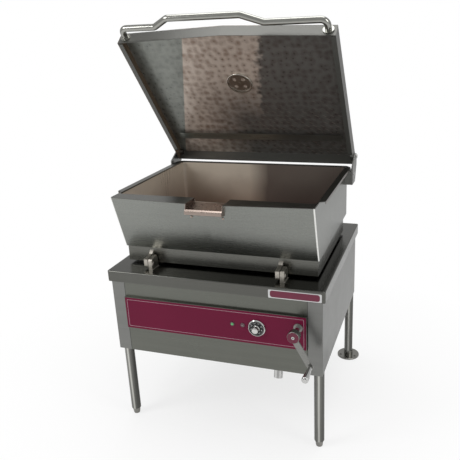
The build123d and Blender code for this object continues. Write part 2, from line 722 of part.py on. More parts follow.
lenses = []
lamp_bezels = []
for lamp_x in LAMP_X:
    at = {"x": lamp_x, "z": LAMP_Z}
    lamp_front = FASCIA_FRONT - LAMP_BEZEL_DEPTH
    lens_radius = LAMP_RADIUS - 1
    holder = bar("Y", LAMP_BEZEL_RADIUS, lamp_front, FASCIA_FRONT, **at)
    holder = fillet(holder.faces().sort_by(Axis.Y)[0].edges(), 1)
    holder += bar("Y", LAMP_RADIUS, FASCIA_FRONT, PANEL_BACK + LAMP_BODY, **at)
    lamp_bezels.append(holder - bar("Y", lens_radius, lamp_front, FASCIA_FRONT + LENS_SEAT, **at))
    lens = bar("Y", lens_radius, lamp_front - LENS_PROUD, FASCIA_FRONT + LENS_SEAT, **at)
    lenses.append(fillet(lens.faces().sort_by(Axis.Y)[0].edges(), 2))
place("lamp_holders", *lamp_bezels)
place("lamp_lenses", *lenses)

# Electrical parts on the bottom pan
floor_z = BODY_BOTTOM + SHEET + THIN_SHEET
step_z = floor_z + CONTACTOR_LOW
contactor = block(
    CONTACTOR_X - CONTACTOR_HALF_WIDTH,
    CONTACTOR_X + CONTACTOR_HALF_WIDTH,
    CONTACTOR_Y - CONTACTOR_HALF_DEPTH,
    CONTACTOR_Y + CONTACTOR_HALF_DEPTH,
    floor_z,
    floor_z + CONTACTOR_TALL,
)
screw_reach = CONTACTOR_HALF_DEPTH - CONTACTOR_STEP / 2
for step_y in (CONTACTOR_Y - screw_reach, CONTACTOR_Y + screw_reach):
    contactor -= block(
        CONTACTOR_X - CONTACTOR_HALF_WIDTH,
        CONTACTOR_X + CONTACTOR_HALF_WIDTH,
        step_y - CONTACTOR_STEP / 2,
        step_y + CONTACTOR_STEP / 2,
        step_z,
        floor_z + CONTACTOR_TALL,
    )
    for pole in (-1, 0, 1):
        pole_x = CONTACTOR_X + pole * POLE_PITCH
        contactor += bar("Z", POLE_SCREW[0], step_z, step_z + POLE_SCREW[1], x=pole_x, y=step_y)
place("contactor", contactor)

terminal_half = TERMINAL_WAYS * TERMINAL_PITCH / 2
terminals = block(
    CONTACTOR_X - terminal_half,
    CONTACTOR_X + terminal_half,
    TERMINAL_Y - TERMINAL_HALF_DEPTH,
    TERMINAL_Y + TERMINAL_HALF_DEPTH,
    floor_z,
    floor_z + TERMINAL_TALL,
)
way_width, way_depth, way_rise = TERMINAL_WAY
way_top = floor_z + TERMINAL_TALL + way_rise
for way in range(TERMINAL_WAYS):
    way_x = CONTACTOR_X - terminal_half + TERMINAL_PITCH * (way + 0.5)
    terminals += block(
        way_x - way_width / 2,
        way_x + way_width / 2,
        TERMINAL_Y - way_depth / 2,
        TERMINAL_Y + way_depth / 2,
        way_top - way_rise,
        way_top,
    )
    terminals -= bar("Z", TERMINAL_BORE[0], way_top - TERMINAL_BORE[1], way_top, x=way_x, y=TERMINAL_Y)
place("terminal_block", terminals)

limit_top = floor_z + LIMIT_TALL
limiter = block(
    LIMIT_X - LIMIT_HALF_WIDTH,
    LIMIT_X + LIMIT_HALF_WIDTH,
    CONTACTOR_Y - LIMIT_HALF_DEPTH,
    CONTACTOR_Y + LIMIT_HALF_DEPTH,
    floor_z,
    limit_top,
)
limiter += bar("Z", LIMIT_BUTTON[0], limit_top, limit_top + LIMIT_BUTTON[1], x=LIMIT_X, y=CONTACTOR_Y)
place("high_limit_control", limiter)

# Cooking pan: the deep-drawn vessel with its rim, a bowed front lip and side hems


def vessel_form(grow, bottom, top):
    """The vessel's space between two heights: its front wall leans, its other walls are upright."""
    lean = (PAN_FRONT_FOOT - PAN_FRONT) / (RIM_TOP - PAN_FLOOR)
    profile = [
        (PAN_FRONT_FOOT - lean * (bottom - PAN_FLOOR) - grow, bottom),
        (PAN_FRONT_FOOT - lean * (top - PAN_FLOOR) - grow, top),
        (PAN_BACK + grow, top),
        (PAN_BACK + grow, bottom),
    ]
    form = side_plate(profile, -PAN_HALF_WIDTH - grow, PAN_HALF_WIDTH + grow)
    uprights = [edge for edge in form.edges() if edge.bounding_box().size.Z > (top - bottom) / 2]
    form = fillet(uprights, PAN_CORNER + grow)
    return fillet(form.faces().sort_by(Axis.Z)[0].edges(), PAN_FLOOR_BEND + grow)


inner_vessel = vessel_form(0, PAN_FLOOR + PAN_WALL, RIM_TOP + 1)
vessel_outside = vessel_form(PAN_WALL, PAN_FLOOR, RIM_TOP - RIM_THICK)
hem_lead = HEM_HALF_WIDTH - LIP_HALF_WIDTH
rim_outline = [
    (-LIP_HALF_WIDTH, LIP_CORNER_Y),
    (0, LIP_APEX_Y),
    (LIP_HALF_WIDTH, LIP_CORNER_Y),
    (LIP_HALF_WIDTH, HEM_FRONT - hem_lead / 2),
    (HEM_HALF_WIDTH, HEM_FRONT),
    (HEM_HALF_WIDTH, HEM_BACK),
    (LIP_HALF_WIDTH, JACKET_BACK),
    (-LIP_HALF_WIDTH, JACKET_BACK),
    (-HEM_HALF_WIDTH, HEM_BACK),
    (-HEM_HALF_WIDTH, HEM_FRONT),
    (-LIP_HALF_WIDTH, HEM_FRONT - hem_lead / 2),
]
rim = flat_plate(rim_outline, RIM_TOP - RIM_THICK, RIM_TOP)
lip_corners = [edge for edge in rim.edges().filter_by(Axis.Z) if abs(edge.center().Y - LIP_CORNER_Y) < 1]
rim = fillet(lip_corners, LIP_BEND)
for hem in both_sides(
    block(HEM_HALF_WIDTH - RIM_THICK, HEM_HALF_WIDTH, HEM_FRONT, HEM_BACK, RIM_TOP - HEM_DROP, RIM_TOP)
):
    rim += hem
spout_notch = block(
    -SPOUT_HALF_WIDTH, SPOUT_HALF_WIDTH, LIP_APEX_Y - 40, PAN_FRONT, SPOUT_FLOOR_BACK, RIM_TOP + 1
)
spout_inner = SPOUT_HALF_WIDTH - SPOUT_WALL
spout_notch += block(-spout_inner, spout_inner, PAN_FRONT, PAN_FRONT_FOOT, SPOUT_FLOOR_BACK, RIM_TOP + 1)
cooking_pan = vessel_outside + rim - inner_vessel - spout_notch
place("cooking_pan", cooking_pan)


def jacket_front(z):
    """The Y of the jacket's front at one height: at its corners, and at its middle."""
    rise = (z - JACKET_BOTTOM) / (RIM_TOP - RIM_THICK - JACKET_BOTTOM)
    corner_y = JACKET_FOOT_Y + (LIP_CORNER_Y - JACKET_FOOT_Y) * rise
    return corner_y, JACKET_FOOT_Y + (LIP_APEX_Y - JACKET_FOOT_Y) * rise


def jacket_prism(inset, bottom, top):
    """The jacket's body: upright sides and back, and a front that leans out to the bowed lip."""
    half = JACKET_HALF_WIDTH - inset

    def ring(z):
        corner_y, apex_y = [y + inset for y in jacket_front(z)]
        points = [(-half, corner_y), (0, apex_y), (half, corner_y)]
        points += [(half, JACKET_BACK - inset), (-half, JACKET_BACK - inset)]
        return Wire.make_polygon([Vector(x, y, z) for x, y in points], close=True)

    prism = Part() + Solid.make_loft([ring(bottom), ring(top)], True)
    reach = 1 + inset
    bends = [
        edge
        for edge in prism.edges()
        if abs(edge.center().X) > half - 1 and edge.center().Y < PAN_FRONT and edge.bounding_box().size.Z > reach
    ]
    return fillet(bends, JACKET_BEND - inset)


heater_half = PAN_HALF_WIDTH
jacket_inside = jacket_prism(THIN_SHEET, JACKET_BOTTOM + THIN_SHEET, RIM_TOP)
jacket = jacket_prism(0, JACKET_BOTTOM, RIM_TOP - RIM_THICK) - jacket_inside
jacket -= block(
    -heater_half + THIN_SHEET,
    heater_half - THIN_SHEET,
    HEATER_FRONT + THIN_SHEET,
    HEATER_BACK - THIN_SHEET,
    JACKET_BOTTOM - 1,
    JACKET_BOTTOM + THIN_SHEET + 1,
)
jacket -= block(
    -SPOUT_HALF_WIDTH, SPOUT_HALF_WIDTH, LIP_APEX_Y - 20, PAN_FRONT - PAN_WALL, SPOUT_BASE - 1, RIM_TOP
)


def spout_screw_seat(x):
    """The place on the jacket's leaning front, square to it, for a screw below the spout."""
    z = SPOUT_BASE - SPOUT_SCREW_DROP
    corner_y, apex_y = jacket_front(z)
    low_corner_y, low_apex_y = jacket_front(z - 1)
    across = (corner_y - apex_y) / JACKET_HALF_WIDTH
    y = apex_y + across * abs(x)
    low_y = low_apex_y + (low_corner_y - low_apex_y) / JACKET_HALF_WIDTH * abs(x)
    return Plane(origin=(x, y, z), z_dir=(math.copysign(across, x), -1, y - low_y)).location


spout_screws = []
for screw_x in (-SPOUT_SCREW_X, SPOUT_SCREW_X):
    seat = spout_screw_seat(screw_x)
    screw = domed_screw(
        "Z", FREE, -SPOUT_SCREW_LENGTH, SPOUT_SCREW_RADIUS, SCREW_HEAD_RADIUS, SCREW_HEAD_HEIGHT
    )
    spout_screws.append(seat * screw)
    jacket -= seat * bar("Z", SPOUT_SCREW_RADIUS + RUNNING, -SPOUT_SCREW_LENGTH, SPOUT_SCREW_LENGTH)
place("pan_jacket", jacket)

# Heater box: the tray under the pan that holds the elements and their insulation
heater_box = tray(
    -heater_half, heater_half, HEATER_FRONT, HEATER_BACK, HEATER_BOTTOM, JACKET_BOTTOM, THIN_SHEET, "+Z"
)
place("heater_box", heater_box)
plate_half = heater_half - COOK_PLATE_MARGIN
plate_front = HEATER_FRONT + COOK_PLATE_MARGIN
plate_back = HEATER_BACK - COOK_PLATE_MARGIN
cook_plate = block(-plate_half, plate_half, plate_front, plate_back, COOK_PLATE_BOTTOM, PAN_FLOOR)
place("cook_plate", fillet(cook_plate.edges().filter_by(Axis.Z), 10))

element_front = plate_front + 20
element_back = plate_back - 20
element_rods = []
for index in range(ELEMENT_COUNT):
    middle = (index - (ELEMENT_COUNT - 1) / 2) * ELEMENT_PITCH
    hairpin = FilletPolyline(
        (middle - ELEMENT_SPAN / 2, element_back, ELEMENT_Z),
        (middle - ELEMENT_SPAN / 2, element_front, ELEMENT_Z),
        (middle + ELEMENT_SPAN / 2, element_front, ELEMENT_Z),
        (middle + ELEMENT_SPAN / 2, element_back, ELEMENT_Z),
        radius=ELEMENT_SPAN / 3,
    )
    section = Plane(origin=hairpin @ 0, z_dir=hairpin % 0) * Circle(ELEMENT_RADIUS)
    element_rods.append(sweep(section, path=hairpin))
place("heating_elements", *element_rods)
clamps = []
clamp_z = ELEMENT_Z - ELEMENT_RADIUS
for index in range(CLAMP_COUNT):
    clamp_y = element_front + (element_back - element_front) * (index + 0.75) / CLAMP_COUNT
    clamps.append(
        block(-plate_half + 10, plate_half - 10, clamp_y, clamp_y + CLAMP_WIDTH, clamp_z - CLAMP_THICK, clamp_z)
    )
place("element_clamps", *clamps)
insulation_bottom = HEATER_BOTTOM + THIN_SHEET + 0.2
insulation = block(
    -heater_half + THIN_SHEET + 1,
    heater_half - THIN_SHEET - 1,
    HEATER_FRONT + THIN_SHEET + 1,
    HEATER_BACK - THIN_SHEET - 1,
    insulation_bottom,
    insulation_bottom + INSULATION_THICK,
)
place("insulation_mat", insulation)
bulb_y = (element_front + element_back) / 2
bulb = bar(
    "Y", BULB_RADIUS, bulb_y - BULB_LENGTH / 2, bulb_y + BULB_LENGTH / 2, z=COOK_PLATE_BOTTOM - BULB_RADIUS
)
place("thermostat_bulb", bulb)

# Pour spout: a sloping trough in the front rim that ends in a rounded nose
spout_back = PAN_FRONT + PAN_WALL
spout_floor_end = (LIP_APEX_Y + SPOUT_FLOOR_END, SPOUT_FLOOR_FRONT)
spout_nose_crest = (SPOUT_NOSE_Y + SPOUT_NOSE_CREST, SPOUT_NOSE_TOP)
spout_profile = [
    (spout_back, SPOUT_FLOOR_BACK),
    spout_floor_end,
    spout_nose_crest,
    (SPOUT_NOSE_Y, SPOUT_NOSE_TOP - SPOUT_NOSE_BEND),
    (SPOUT_NOSE_Y, SPOUT_NOSE_BOTTOM),
    (SPOUT_NOSE_Y + SPOUT_NOSE_LENGTH, SPOUT_BASE),
    (spout_back, SPOUT_FLOOR_BACK - SPOUT_FLOOR_THICK),
]
spout = side_plate(spout_profile, -SPOUT_HALF_WIDTH, SPOUT_HALF_WIDTH)
spout = fillet(spout.edges().filter_by(Axis.X).group_by(Axis.Y)[0], SPOUT_NOSE_ROUND)
cheek_profile = [
    (spout_back, RIM_TOP),
    (LIP_APEX_Y + SPOUT_NOSE_ROUND, RIM_TOP),
    spout_nose_crest,
    spout_floor_end,
    (spout_back, SPOUT_FLOOR_BACK),
]
for x0, x1 in ((-SPOUT_HALF_WIDTH, -spout_inner), (spout_inner, SPOUT_HALF_WIDTH)):
    spout += side_plate(cheek_profile, x0, x1)
place("pour_spout", spout - vessel_form(PAN_WALL, PAN_FLOOR, RIM_TOP), *spout_screws)

# Pan hinge: two pairs of cast lugs, the left one of each pair on the pan, the right one on the deck
lug_nose = TILT_Y - LUG_NOSE
pan_lug_foot = TILT_Z - PAN_LUG_BOTTOM
pan_lug_shape = [
    (lug_nose, TILT_Z + PAN_LUG_NOSE_TOP),
    (lug_nose, pan_lug_foot + PAN_LUG_CHAMFER[1]),
    (lug_nose + PAN_LUG_CHAMFER[0], pan_lug_foot),
    (HEATER_FRONT, pan_lug_foot),
    (HEATER_FRONT, TILT_Z + PAN_LUG_TOP),
    (TILT_Y + PAN_LUG_BACK, TILT_Z + PAN_LUG_BACK_TOP),
]
deck_lug_shape = [
    (lug_nose, DECK_TOP),
    (lug_nose, TILT_Z + DECK_LUG_NOSE_TOP - DECK_LUG_CHAMFER),
    (lug_nose + DECK_LUG_CHAMFER, TILT_Z + DECK_LUG_NOSE_TOP),
    (TILT_Y + DECK_LUG_LENGTH - DECK_LUG_HEEL[0], TILT_Z + DECK_LUG_TOP),
    (TILT_Y + DECK_LUG_LENGTH, TILT_Z + DECK_LUG_TOP - DECK_LUG_HEEL[1]),
    (TILT_Y + DECK_LUG_LENGTH, DECK_TOP),
]


def softened(lug):
    """A cast lug with rounded edges, except where it meets the deck or the heater box."""
    free = [edge for edge in lug.edges() if edge.center().Y < HEATER_FRONT - 1 and edge.center().Z > DECK_TOP + 1]
    return fillet(free, LUG_EDGE)


pan_lugs = []
deck_lugs = []
tilt_pins = []
for hinge_x in HINGE_X:
    left = hinge_x - HINGE_GAP / 2
    right = hinge_x + HINGE_GAP / 2
    bore = bar("X", TILT_PIN_RADIUS + RUNNING, left - LUG_THICK, right + LUG_THICK, y=TILT_Y, z=TILT_Z)
    pan_lugs.append(softened(side_plate(pan_lug_shape, left - LUG_THICK, left)) - bore)
    snug = bar("X", TILT_PIN_RADIUS, right, right + LUG_THICK, y=TILT_Y, z=TILT_Z)
    deck_lugs.append(softened(side_plate(deck_lug_shape, right, right + LUG_THICK)) - snug)
    tilt_pins.append(
        domed_screw(
            "X",
            right + LUG_THICK,
            left - LUG_THICK,
            TILT_PIN_RADIUS,
            TILT_PIN_HEAD_RADIUS,
            TILT_PIN_HEAD,
            y=TILT_Y,
            z=TILT_Z,
        )
    )
place("pan_hinge_lugs", *pan_lugs)
place("deck_hinge_lugs", *deck_lugs)
place("tilt_hinge_pins", *tilt_pins)
rest_pads = [
    bar("Z", PAD_RADIUS, DECK_TOP, HEATER_BOTTOM - FREE, x=x, y=PAD_Y) for x in (-PAD_X, PAD_X)
]
place("pan_rest_pads", *[fillet(pad.edges().sort_by(Axis.Z)[-1], 2) for pad in rest_pads])

# Jack lug: a clevis under the heater box with the pin that the jack lifts
eye_half = EYE_THICK / 2
cheek_gap = eye_half + 1
lug_base_bottom = HEATER_BOTTOM - 3
cheek_radius = LUG_PIN_RADIUS + 8
jack_lug = block(
    JACK_X - cheek_gap - LUG_CHEEK - 6,
    JACK_X + cheek_gap + LUG_CHEEK + 6,
    PAN_LUG_Y - 30,
    PAN_LUG_Y + 30,
    lug_base_bottom,
    HEATER_BOTTOM,
)
for x0 in (JACK_X - cheek_gap - LUG_CHEEK, JACK_X + cheek_gap):
    cheek = block(
        x0, x0 + LUG_CHEEK, PAN_LUG_Y - cheek_radius, PAN_LUG_Y + cheek_radius, PAN_LUG_Z, lug_base_bottom
    )
    cheek += bar("X", cheek_radius, x0, x0 + LUG_CHEEK, y=PAN_LUG_Y, z=PAN_LUG_Z)
    jack_lug += cheek
lug_outer = cheek_gap + LUG_CHEEK
jack_lug -= bar("X", LUG_PIN_RADIUS, JACK_X - lug_outer, JACK_X + lug_outer, y=PAN_LUG_Y, z=PAN_LUG_Z)
lug_pin = domed_screw(
    "X",
    JACK_X + lug_outer,
    JACK_X - lug_outer - 4,
    LUG_PIN_RADIUS,
    LUG_PIN_RADIUS + 2.5,
    3,
    y=PAN_LUG_Y,
    z=PAN_LUG_Z,
)
place("jack_lug", jack_lug, lug_pin)

# Lid: a shallow tray with a bowed front, hemmed sides, a drip channel and a vent
lid_front = LID_BACK - LID_LENGTH


def lid_outline(inset):
    """The lid's plan, with its front edge bowed to the middle."""
    half = LID_HALF_WIDTH - inset
    return [
        (-half, LID_BACK - inset),
        (half, LID_BACK - inset),
        (half, lid_front + inset),
        (0, lid_front - LID_BOW + inset),
        (-half, lid_front + inset),
    ]


lid_bottom = LID_TOP - LID_DEPTH
lid_prism = flat_plate(lid_outline(0), lid_bottom, LID_TOP)
skin_under = LID_TOP - THIN_SHEET
lid = lid_prism - flat_plate(lid_outline(THIN_SHEET), lid_bottom, skin_under)
hem_strip = block(
    LID_HALF_WIDTH - LID_HEM, LID_HALF_WIDTH, lid_front + 6, LID_HINGE_Y - 60, lid_bottom, lid_bottom + THIN_SHEET
)
for strip in both_sides(hem_strip):
    lid += strip
pin_hole = bar("X", LID_PIN_RADIUS + RUNNING, -LID_HALF_WIDTH, LID_HALF_WIDTH, y=LID_HINGE_Y, z=LID_HINGE_Z)
lid -= pin_hole
vent_y = LID_BACK - VENT_FROM_BACK


def vent_slots(bottom, top):
    """The ring of round holes that the vent disc opens and closes."""
    holes = Part()
    for index in range(VENT_SLOTS):
        angle = math.radians(index * 360 / VENT_SLOTS)
        x = VENT_X + VENT_SLOT_PITCH * math.cos(angle)
        y = vent_y + VENT_SLOT_PITCH * math.sin(angle)
        holes += bar("Z", VENT_SLOT_RADIUS, bottom, top, x=x, y=y)
    return holes


lid -= vent_slots(skin_under - 1, LID_TOP + 1)
lid -= bar("Z", VENT_PIN_RADIUS + RUNNING, skin_under, LID_TOP, x=VENT_X, y=vent_y)
place("lid_shell", LID_CLOSED_TO_OPEN * lid)

bosses = bar(
    "X",
    LID_BOSS_RADIUS,
    LID_HALF_WIDTH - THIN_SHEET - LID_BOSS_LENGTH,
    LID_HALF_WIDTH - THIN_SHEET,
    y=LID_HINGE_Y,
    z=LID_HINGE_Z,
)
bosses &= block(0, LID_HALF_WIDTH, 0, LID_BACK - THIN_SHEET, 0, skin_under)
bosses -= pin_hole
place("lid_hinge_bosses", *[LID_CLOSED_TO_OPEN * boss for boss in both_sides(bosses)])

drip_y = LID_BACK - DRIP_FROM_BACK
drip = block(-DRIP_HALF_LENGTH, DRIP_HALF_LENGTH, drip_y - THIN_SHEET, drip_y, LID_TOP - DRIP_DEPTH, skin_under)
drip += block(
    -DRIP_HALF_LENGTH,
    DRIP_HALF_LENGTH,
    drip_y - DRIP_WIDTH,
    drip_y,
    LID_TOP - DRIP_DEPTH - THIN_SHEET,
    LID_TOP - DRIP_DEPTH,
)
place("drip_channel", LID_CLOSED_TO_OPEN * drip)

ring = bar("Z", VENT_RING_RADIUS, skin_under - VENT_RING_HEIGHT, skin_under, x=VENT_X, y=vent_y)
ring = fillet(ring.edges().sort_by(Axis.Z)[0], 2)
ring -= bar(
    "Z", VENT_RING_RADIUS - VENT_RING_WALL, skin_under - VENT_RING_HEIGHT, skin_under, x=VENT_X, y=vent_y
)
place("vent_ring", LID_CLOSED_TO_OPEN * ring)
disc_top = skin_under - FREE
disc = bar("Z", VENT_DISC_RADIUS, disc_top - SHEET, disc_top, x=VENT_X, y=vent_y)
disc -= Pos(VENT_X, vent_y, 0) * Rot(0, 0, 180 / VENT_SLOTS) * Pos(-VENT_X, -vent_y, 0) * vent_slots(
    disc_top - SHEET - 1, disc_top + 1
)
disc += bar("Z", VENT_PIN_RADIUS, disc_top - SHEET - 2, LID_TOP + FREE, x=VENT_X, y=vent_y)
vent_knob = bar("Z", VENT_KNOB_RADIUS, LID_TOP + FREE, LID_TOP + FREE + VENT_KNOB_HEIGHT, x=VENT_X, y=vent_y)
disc += fillet(vent_knob.edges().sort_by(Axis.Z)[-1], 4)
place("vent_cover", LID_CLOSED_TO_OPEN * disc)

handle_z = LID_TOP - HANDLE_DEPTH
handle_low = lid_front - HANDLE_REACH
handle_high = handle_low - HANDLE_RISE
handle_path = FilletPolyline(
    (-HANDLE_HALF_WIDTH, lid_front + 10, handle_z),
    (-HANDLE_HALF_WIDTH, handle_low, handle_z),
    (HANDLE_RISE_LEFT[0], handle_low, handle_z),
    (HANDLE_RISE_LEFT[1], handle_high, handle_z),
    (HANDLE_RISE_RIGHT[0], handle_high, handle_z),
    (HANDLE_RISE_RIGHT[1], handle_low, handle_z),
    (HANDLE_HALF_WIDTH, handle_low, handle_z),
    (HANDLE_HALF_WIDTH, lid_front + 10, handle_z),
    radius=HANDLE_BEND,
)
handle_plane = Plane(origin=handle_path @ 0, z_dir=handle_path % 0)
handle = sweep(handle_plane * Circle(HANDLE_RADIUS), path=handle_path)
handle -= sweep(handle_plane * Circle(HANDLE_RADIUS - HANDLE_WALL), path=handle_path)
handle -= lid_prism
collar = bar(
    "Y", HANDLE_COLLAR_RADIUS, lid_front - HANDLE_COLLAR_THICK - 2, lid_front + 10, x=HANDLE_HALF_WIDTH, z=handle_z
)
collar -= bar("Y", HANDLE_RADIUS, lid_front - 20, lid_front + 10, x=HANDLE_HALF_WIDTH, z=handle_z)
collar -= lid_prism
place("lid_handle", *[LID_CLOSED_TO_OPEN * shape for shape in [handle] + both_sides(collar)])

# Lid hinge brackets on the pan's sides, with bolts and the two hinge pins
bracket_back = LID_BRACKET_FRONT + LID_BRACKET_WIDTH
bracket_top = RIM_TOP - HEM_DROP - LOOSE
plate_profile = [
    (LID_BRACKET_FRONT, LID_BRACKET_BOTTOM),
    (LID_BRACKET_FRONT, RIM_TOP + 10),
    (LID_HINGE_Y - 24, LID_HINGE_Z + LID_EAR_RADIUS),
    (LID_HINGE_Y, LID_HINGE_Z + LID_EAR_RADIUS),
    (LID_HINGE_Y + LID_EAR_RADIUS, LID_HINGE_Z),
    (LID_HINGE_Y + LID_EAR_RADIUS, LID_HINGE_Z - 40),
    (bracket_back, LID_BRACKET_BOTTOM),
]
bracket_outer = LID_BRACKET_X + LID_BRACKET_THICK
foot_back = min(bracket_back, JACKET_BACK)
lid_bracket = side_plate(plate_profile, LID_BRACKET_X, bracket_outer)
lid_bracket += bar("X", LID_EAR_RADIUS, LID_BRACKET_X, bracket_outer, y=LID_HINGE_Y, z=LID_HINGE_Z)
lid_bracket += tray(
    JACKET_HALF_WIDTH, LID_BRACKET_X, LID_BRACKET_FRONT, foot_back, LID_BRACKET_BOTTOM, bracket_top, 5, "+X"
)
lid_bracket -= bar("X", LID_PIN_RADIUS, LID_BRACKET_X, bracket_outer, y=LID_HINGE_Y, z=LID_HINGE_Z)
bolts = []
bolt_y = (LID_BRACKET_FRONT + foot_back) / 2
for bolt_z in LID_BOLT_Z:
    lid_bracket -= bar("X", LID_BOLT_RADIUS, LID_BRACKET_X, bracket_outer, y=bolt_y, z=bolt_z)
    bolt = domed_screw(
        "X", bracket_outer, LID_BRACKET_X - 4, LID_BOLT_RADIUS, LID_BOLT_RADIUS + 3, 4, y=bolt_y, z=bolt_z
    )
    bolts += both_sides(bolt)
place("lid_hinge_brackets", *both_sides(lid_bracket))
lid_pin = domed_screw(
    "X",
    bracket_outer,
    LID_HALF_WIDTH - THIN_SHEET - LID_BOSS_LENGTH,
    LID_PIN_RADIUS,
    LID_PIN_RADIUS + 4,
    5,
    y=LID_HINGE_Y,
    z=LID_HINGE_Z,
)
place("lid_hinge_bolts", *bolts, *both_sides(lid_pin))


def bevel_blank(bore):
    """The root cone and hub of a 45-degree bevel gear, with its apex at the origin."""
    drop = TOOTH_ROOT / math.sqrt(2)
    toe = 1 - GEAR_FACE / (GEAR_RADIUS * math.sqrt(2))
    heel_radius = GEAR_RADIUS - drop
    heel_z = -GEAR_RADIUS - drop
    profile = [
        (bore, heel_z * toe),
        (heel_radius * toe, heel_z * toe),
        (heel_radius, heel_z),
        (GEAR_HUB_RADIUS, heel_z),
        (GEAR_HUB_RADIUS, heel_z - GEAR_HUB_LENGTH),
        (bore, heel_z - GEAR_HUB_LENGTH),
    ]
    edge = Polyline(*[Vector(r, 0, z) for r, z in profile], close=True)
    return revolve(make_face(edge), axis=Axis.Z)


def bevel_tooth():
    """One straight tooth that tapers towards the apex."""
    toe = 1 - GEAR_FACE / (GEAR_RADIUS * math.sqrt(2))
    section = [
        (-TOOTH_ROOT - 0.5, TOOTH_ROOT_HALF),
        (TOOTH_TIP, TOOTH_TIP_HALF),
        (TOOTH_TIP, -TOOTH_TIP_HALF),
        (-TOOTH_ROOT - 0.5, -TOOTH_ROOT_HALF),
    ]

    def ring(scale):
        points = []
        for height, side in section:
            lift = height / math.sqrt(2)
            points.append(Vector(GEAR_RADIUS + lift, side, -GEAR_RADIUS + lift) * scale)
        return Wire.make_polygon(points, close=True)

    return Solid.make_loft([ring(1), ring(toe)], True)


def bevel_gear(apex, own, mate, phase, bore):
    """A bevel gear whose base lies along own from the apex and meets the gear along mate."""
    gear = bevel_blank(bore)
    tooth = bevel_tooth()
    teeth = [Rot(0, 0, (index + phase) * 360 / GEAR_TEETH) * tooth for index in range(GEAR_TEETH)]
    gear += teeth
    frame = Plane(origin=apex, x_dir=mate, z_dir=tuple(-value for value in own))
    return frame.location * gear


# Crank: shaft, hub and arm, with a grip that turns on its own pin
crank_gear_apex = (CRANK_X, JACK_Y, CRANK_Z)
gear_back = GEAR_RADIUS + TOOTH_ROOT / math.sqrt(2) + GEAR_HUB_LENGTH
gear_toe = GEAR_RADIUS - GEAR_FACE / math.sqrt(2)
hub_back = CRANK_HUB_FRONT + CRANK_HUB_LENGTH
shaft_front = CRANK_HUB_FRONT + CRANK_ARM_THICK
crank_shaft = bar("Y", CRANK_SHAFT_RADIUS, shaft_front, JACK_Y - gear_toe - 1, x=CRANK_X, z=CRANK_Z)
crank_gear = bevel_gear(crank_gear_apex, (0, -1, 0), (-1, 0, 0), 0, CRANK_SHAFT_RADIUS)
place("crank_shaft", crank_shaft, crank_gear)
arm_angle = math.radians(CRANK_ARM_ANGLE)
grip_x = CRANK_X + CRANK_ARM_LENGTH * math.sin(arm_angle)
grip_z = CRANK_Z - CRANK_ARM_LENGTH * math.cos(arm_angle)
arm_back = CRANK_HUB_FRONT + CRANK_ARM_THICK
hub = bar("Y", CRANK_HUB_RADIUS, CRANK_HUB_FRONT, hub_back, x=CRANK_X, z=CRANK_Z)
hub = fillet(hub.faces().sort_by(Axis.Y)[0].edges(), 3)
arm_middle = Pos((CRANK_X + grip_x) / 2, (CRANK_HUB_FRONT + arm_back) / 2 + 1, (CRANK_Z + grip_z) / 2)
arm = arm_middle * Rot(0, -CRANK_ARM_ANGLE, 0) * Box(CRANK_ARM_WIDTH, CRANK_ARM_THICK - 2, CRANK_ARM_LENGTH)
arm += bar("Y", CRANK_ARM_WIDTH / 2, CRANK_HUB_FRONT, arm_back, x=grip_x, z=grip_z)
crank_arm = hub + arm
crank_arm -= bar("Y", CRANK_SHAFT_RADIUS, shaft_front, hub_back, x=CRANK_X, z=CRANK_Z)
crank_arm -= bar("Y", CRANK_SCREW_RADIUS, CRANK_HUB_FRONT, shaft_front, x=CRANK_X, z=CRANK_Z)
crank_arm -= bar("Y", GRIP_PIN_RADIUS, CRANK_HUB_FRONT, arm_back, x=grip_x, z=grip_z)
place("crank_arm", crank_arm)
hub_screw = bar("Y", CRANK_SCREW_RADIUS, CRANK_HUB_FRONT - 1, shaft_front, x=CRANK_X, z=CRANK_Z)
socket_hole = Pos(CRANK_X, CRANK_HUB_FRONT + 1, CRANK_Z) * Rot(90, 0, 0) * extrude(
    RegularPolygon(CRANK_SCREW_RADIUS / 2, 6), amount=2.5, both=True
)
place("crank_hub_screw", hub_screw - socket_hole)
grip_back = CRANK_HUB_FRONT - FREE
grip_pin = bar("Y", GRIP_PIN_RADIUS, GRIP_FRONT - FREE, arm_back, x=grip_x, z=grip_z)
cap = bar("Y", GRIP_CAP_RADIUS, GRIP_TIP, GRIP_FRONT - FREE, x=grip_x, z=grip_z)
grip_pin += fillet(cap.faces().sort_by(Axis.Y)[0].edges(), 1)
place("crank_handle_pin", grip_pin)
grip_length = grip_back - GRIP_FRONT
grip_half_profile = [
    (GRIP_PIN_RADIUS + RUNNING, 0),
    (GRIP_RADIUS - 3, 0),
    (GRIP_RADIUS, 5),
    (GRIP_RADIUS - 1, grip_length * 0.35),
    (GRIP_NECK_RADIUS, grip_length - 4),
    (GRIP_NECK_RADIUS, grip_length),
    (GRIP_PIN_RADIUS + RUNNING, grip_length),
]
grip_edge = Polyline(*[Vector(r, 0, z) for r, z in grip_half_profile], close=True)
grip = revolve(make_face(grip_edge), axis=Axis.Z)
place("crank_grip", Pos(grip_x, GRIP_FRONT, grip_z) * Rot(-90, 0, 0) * grip)

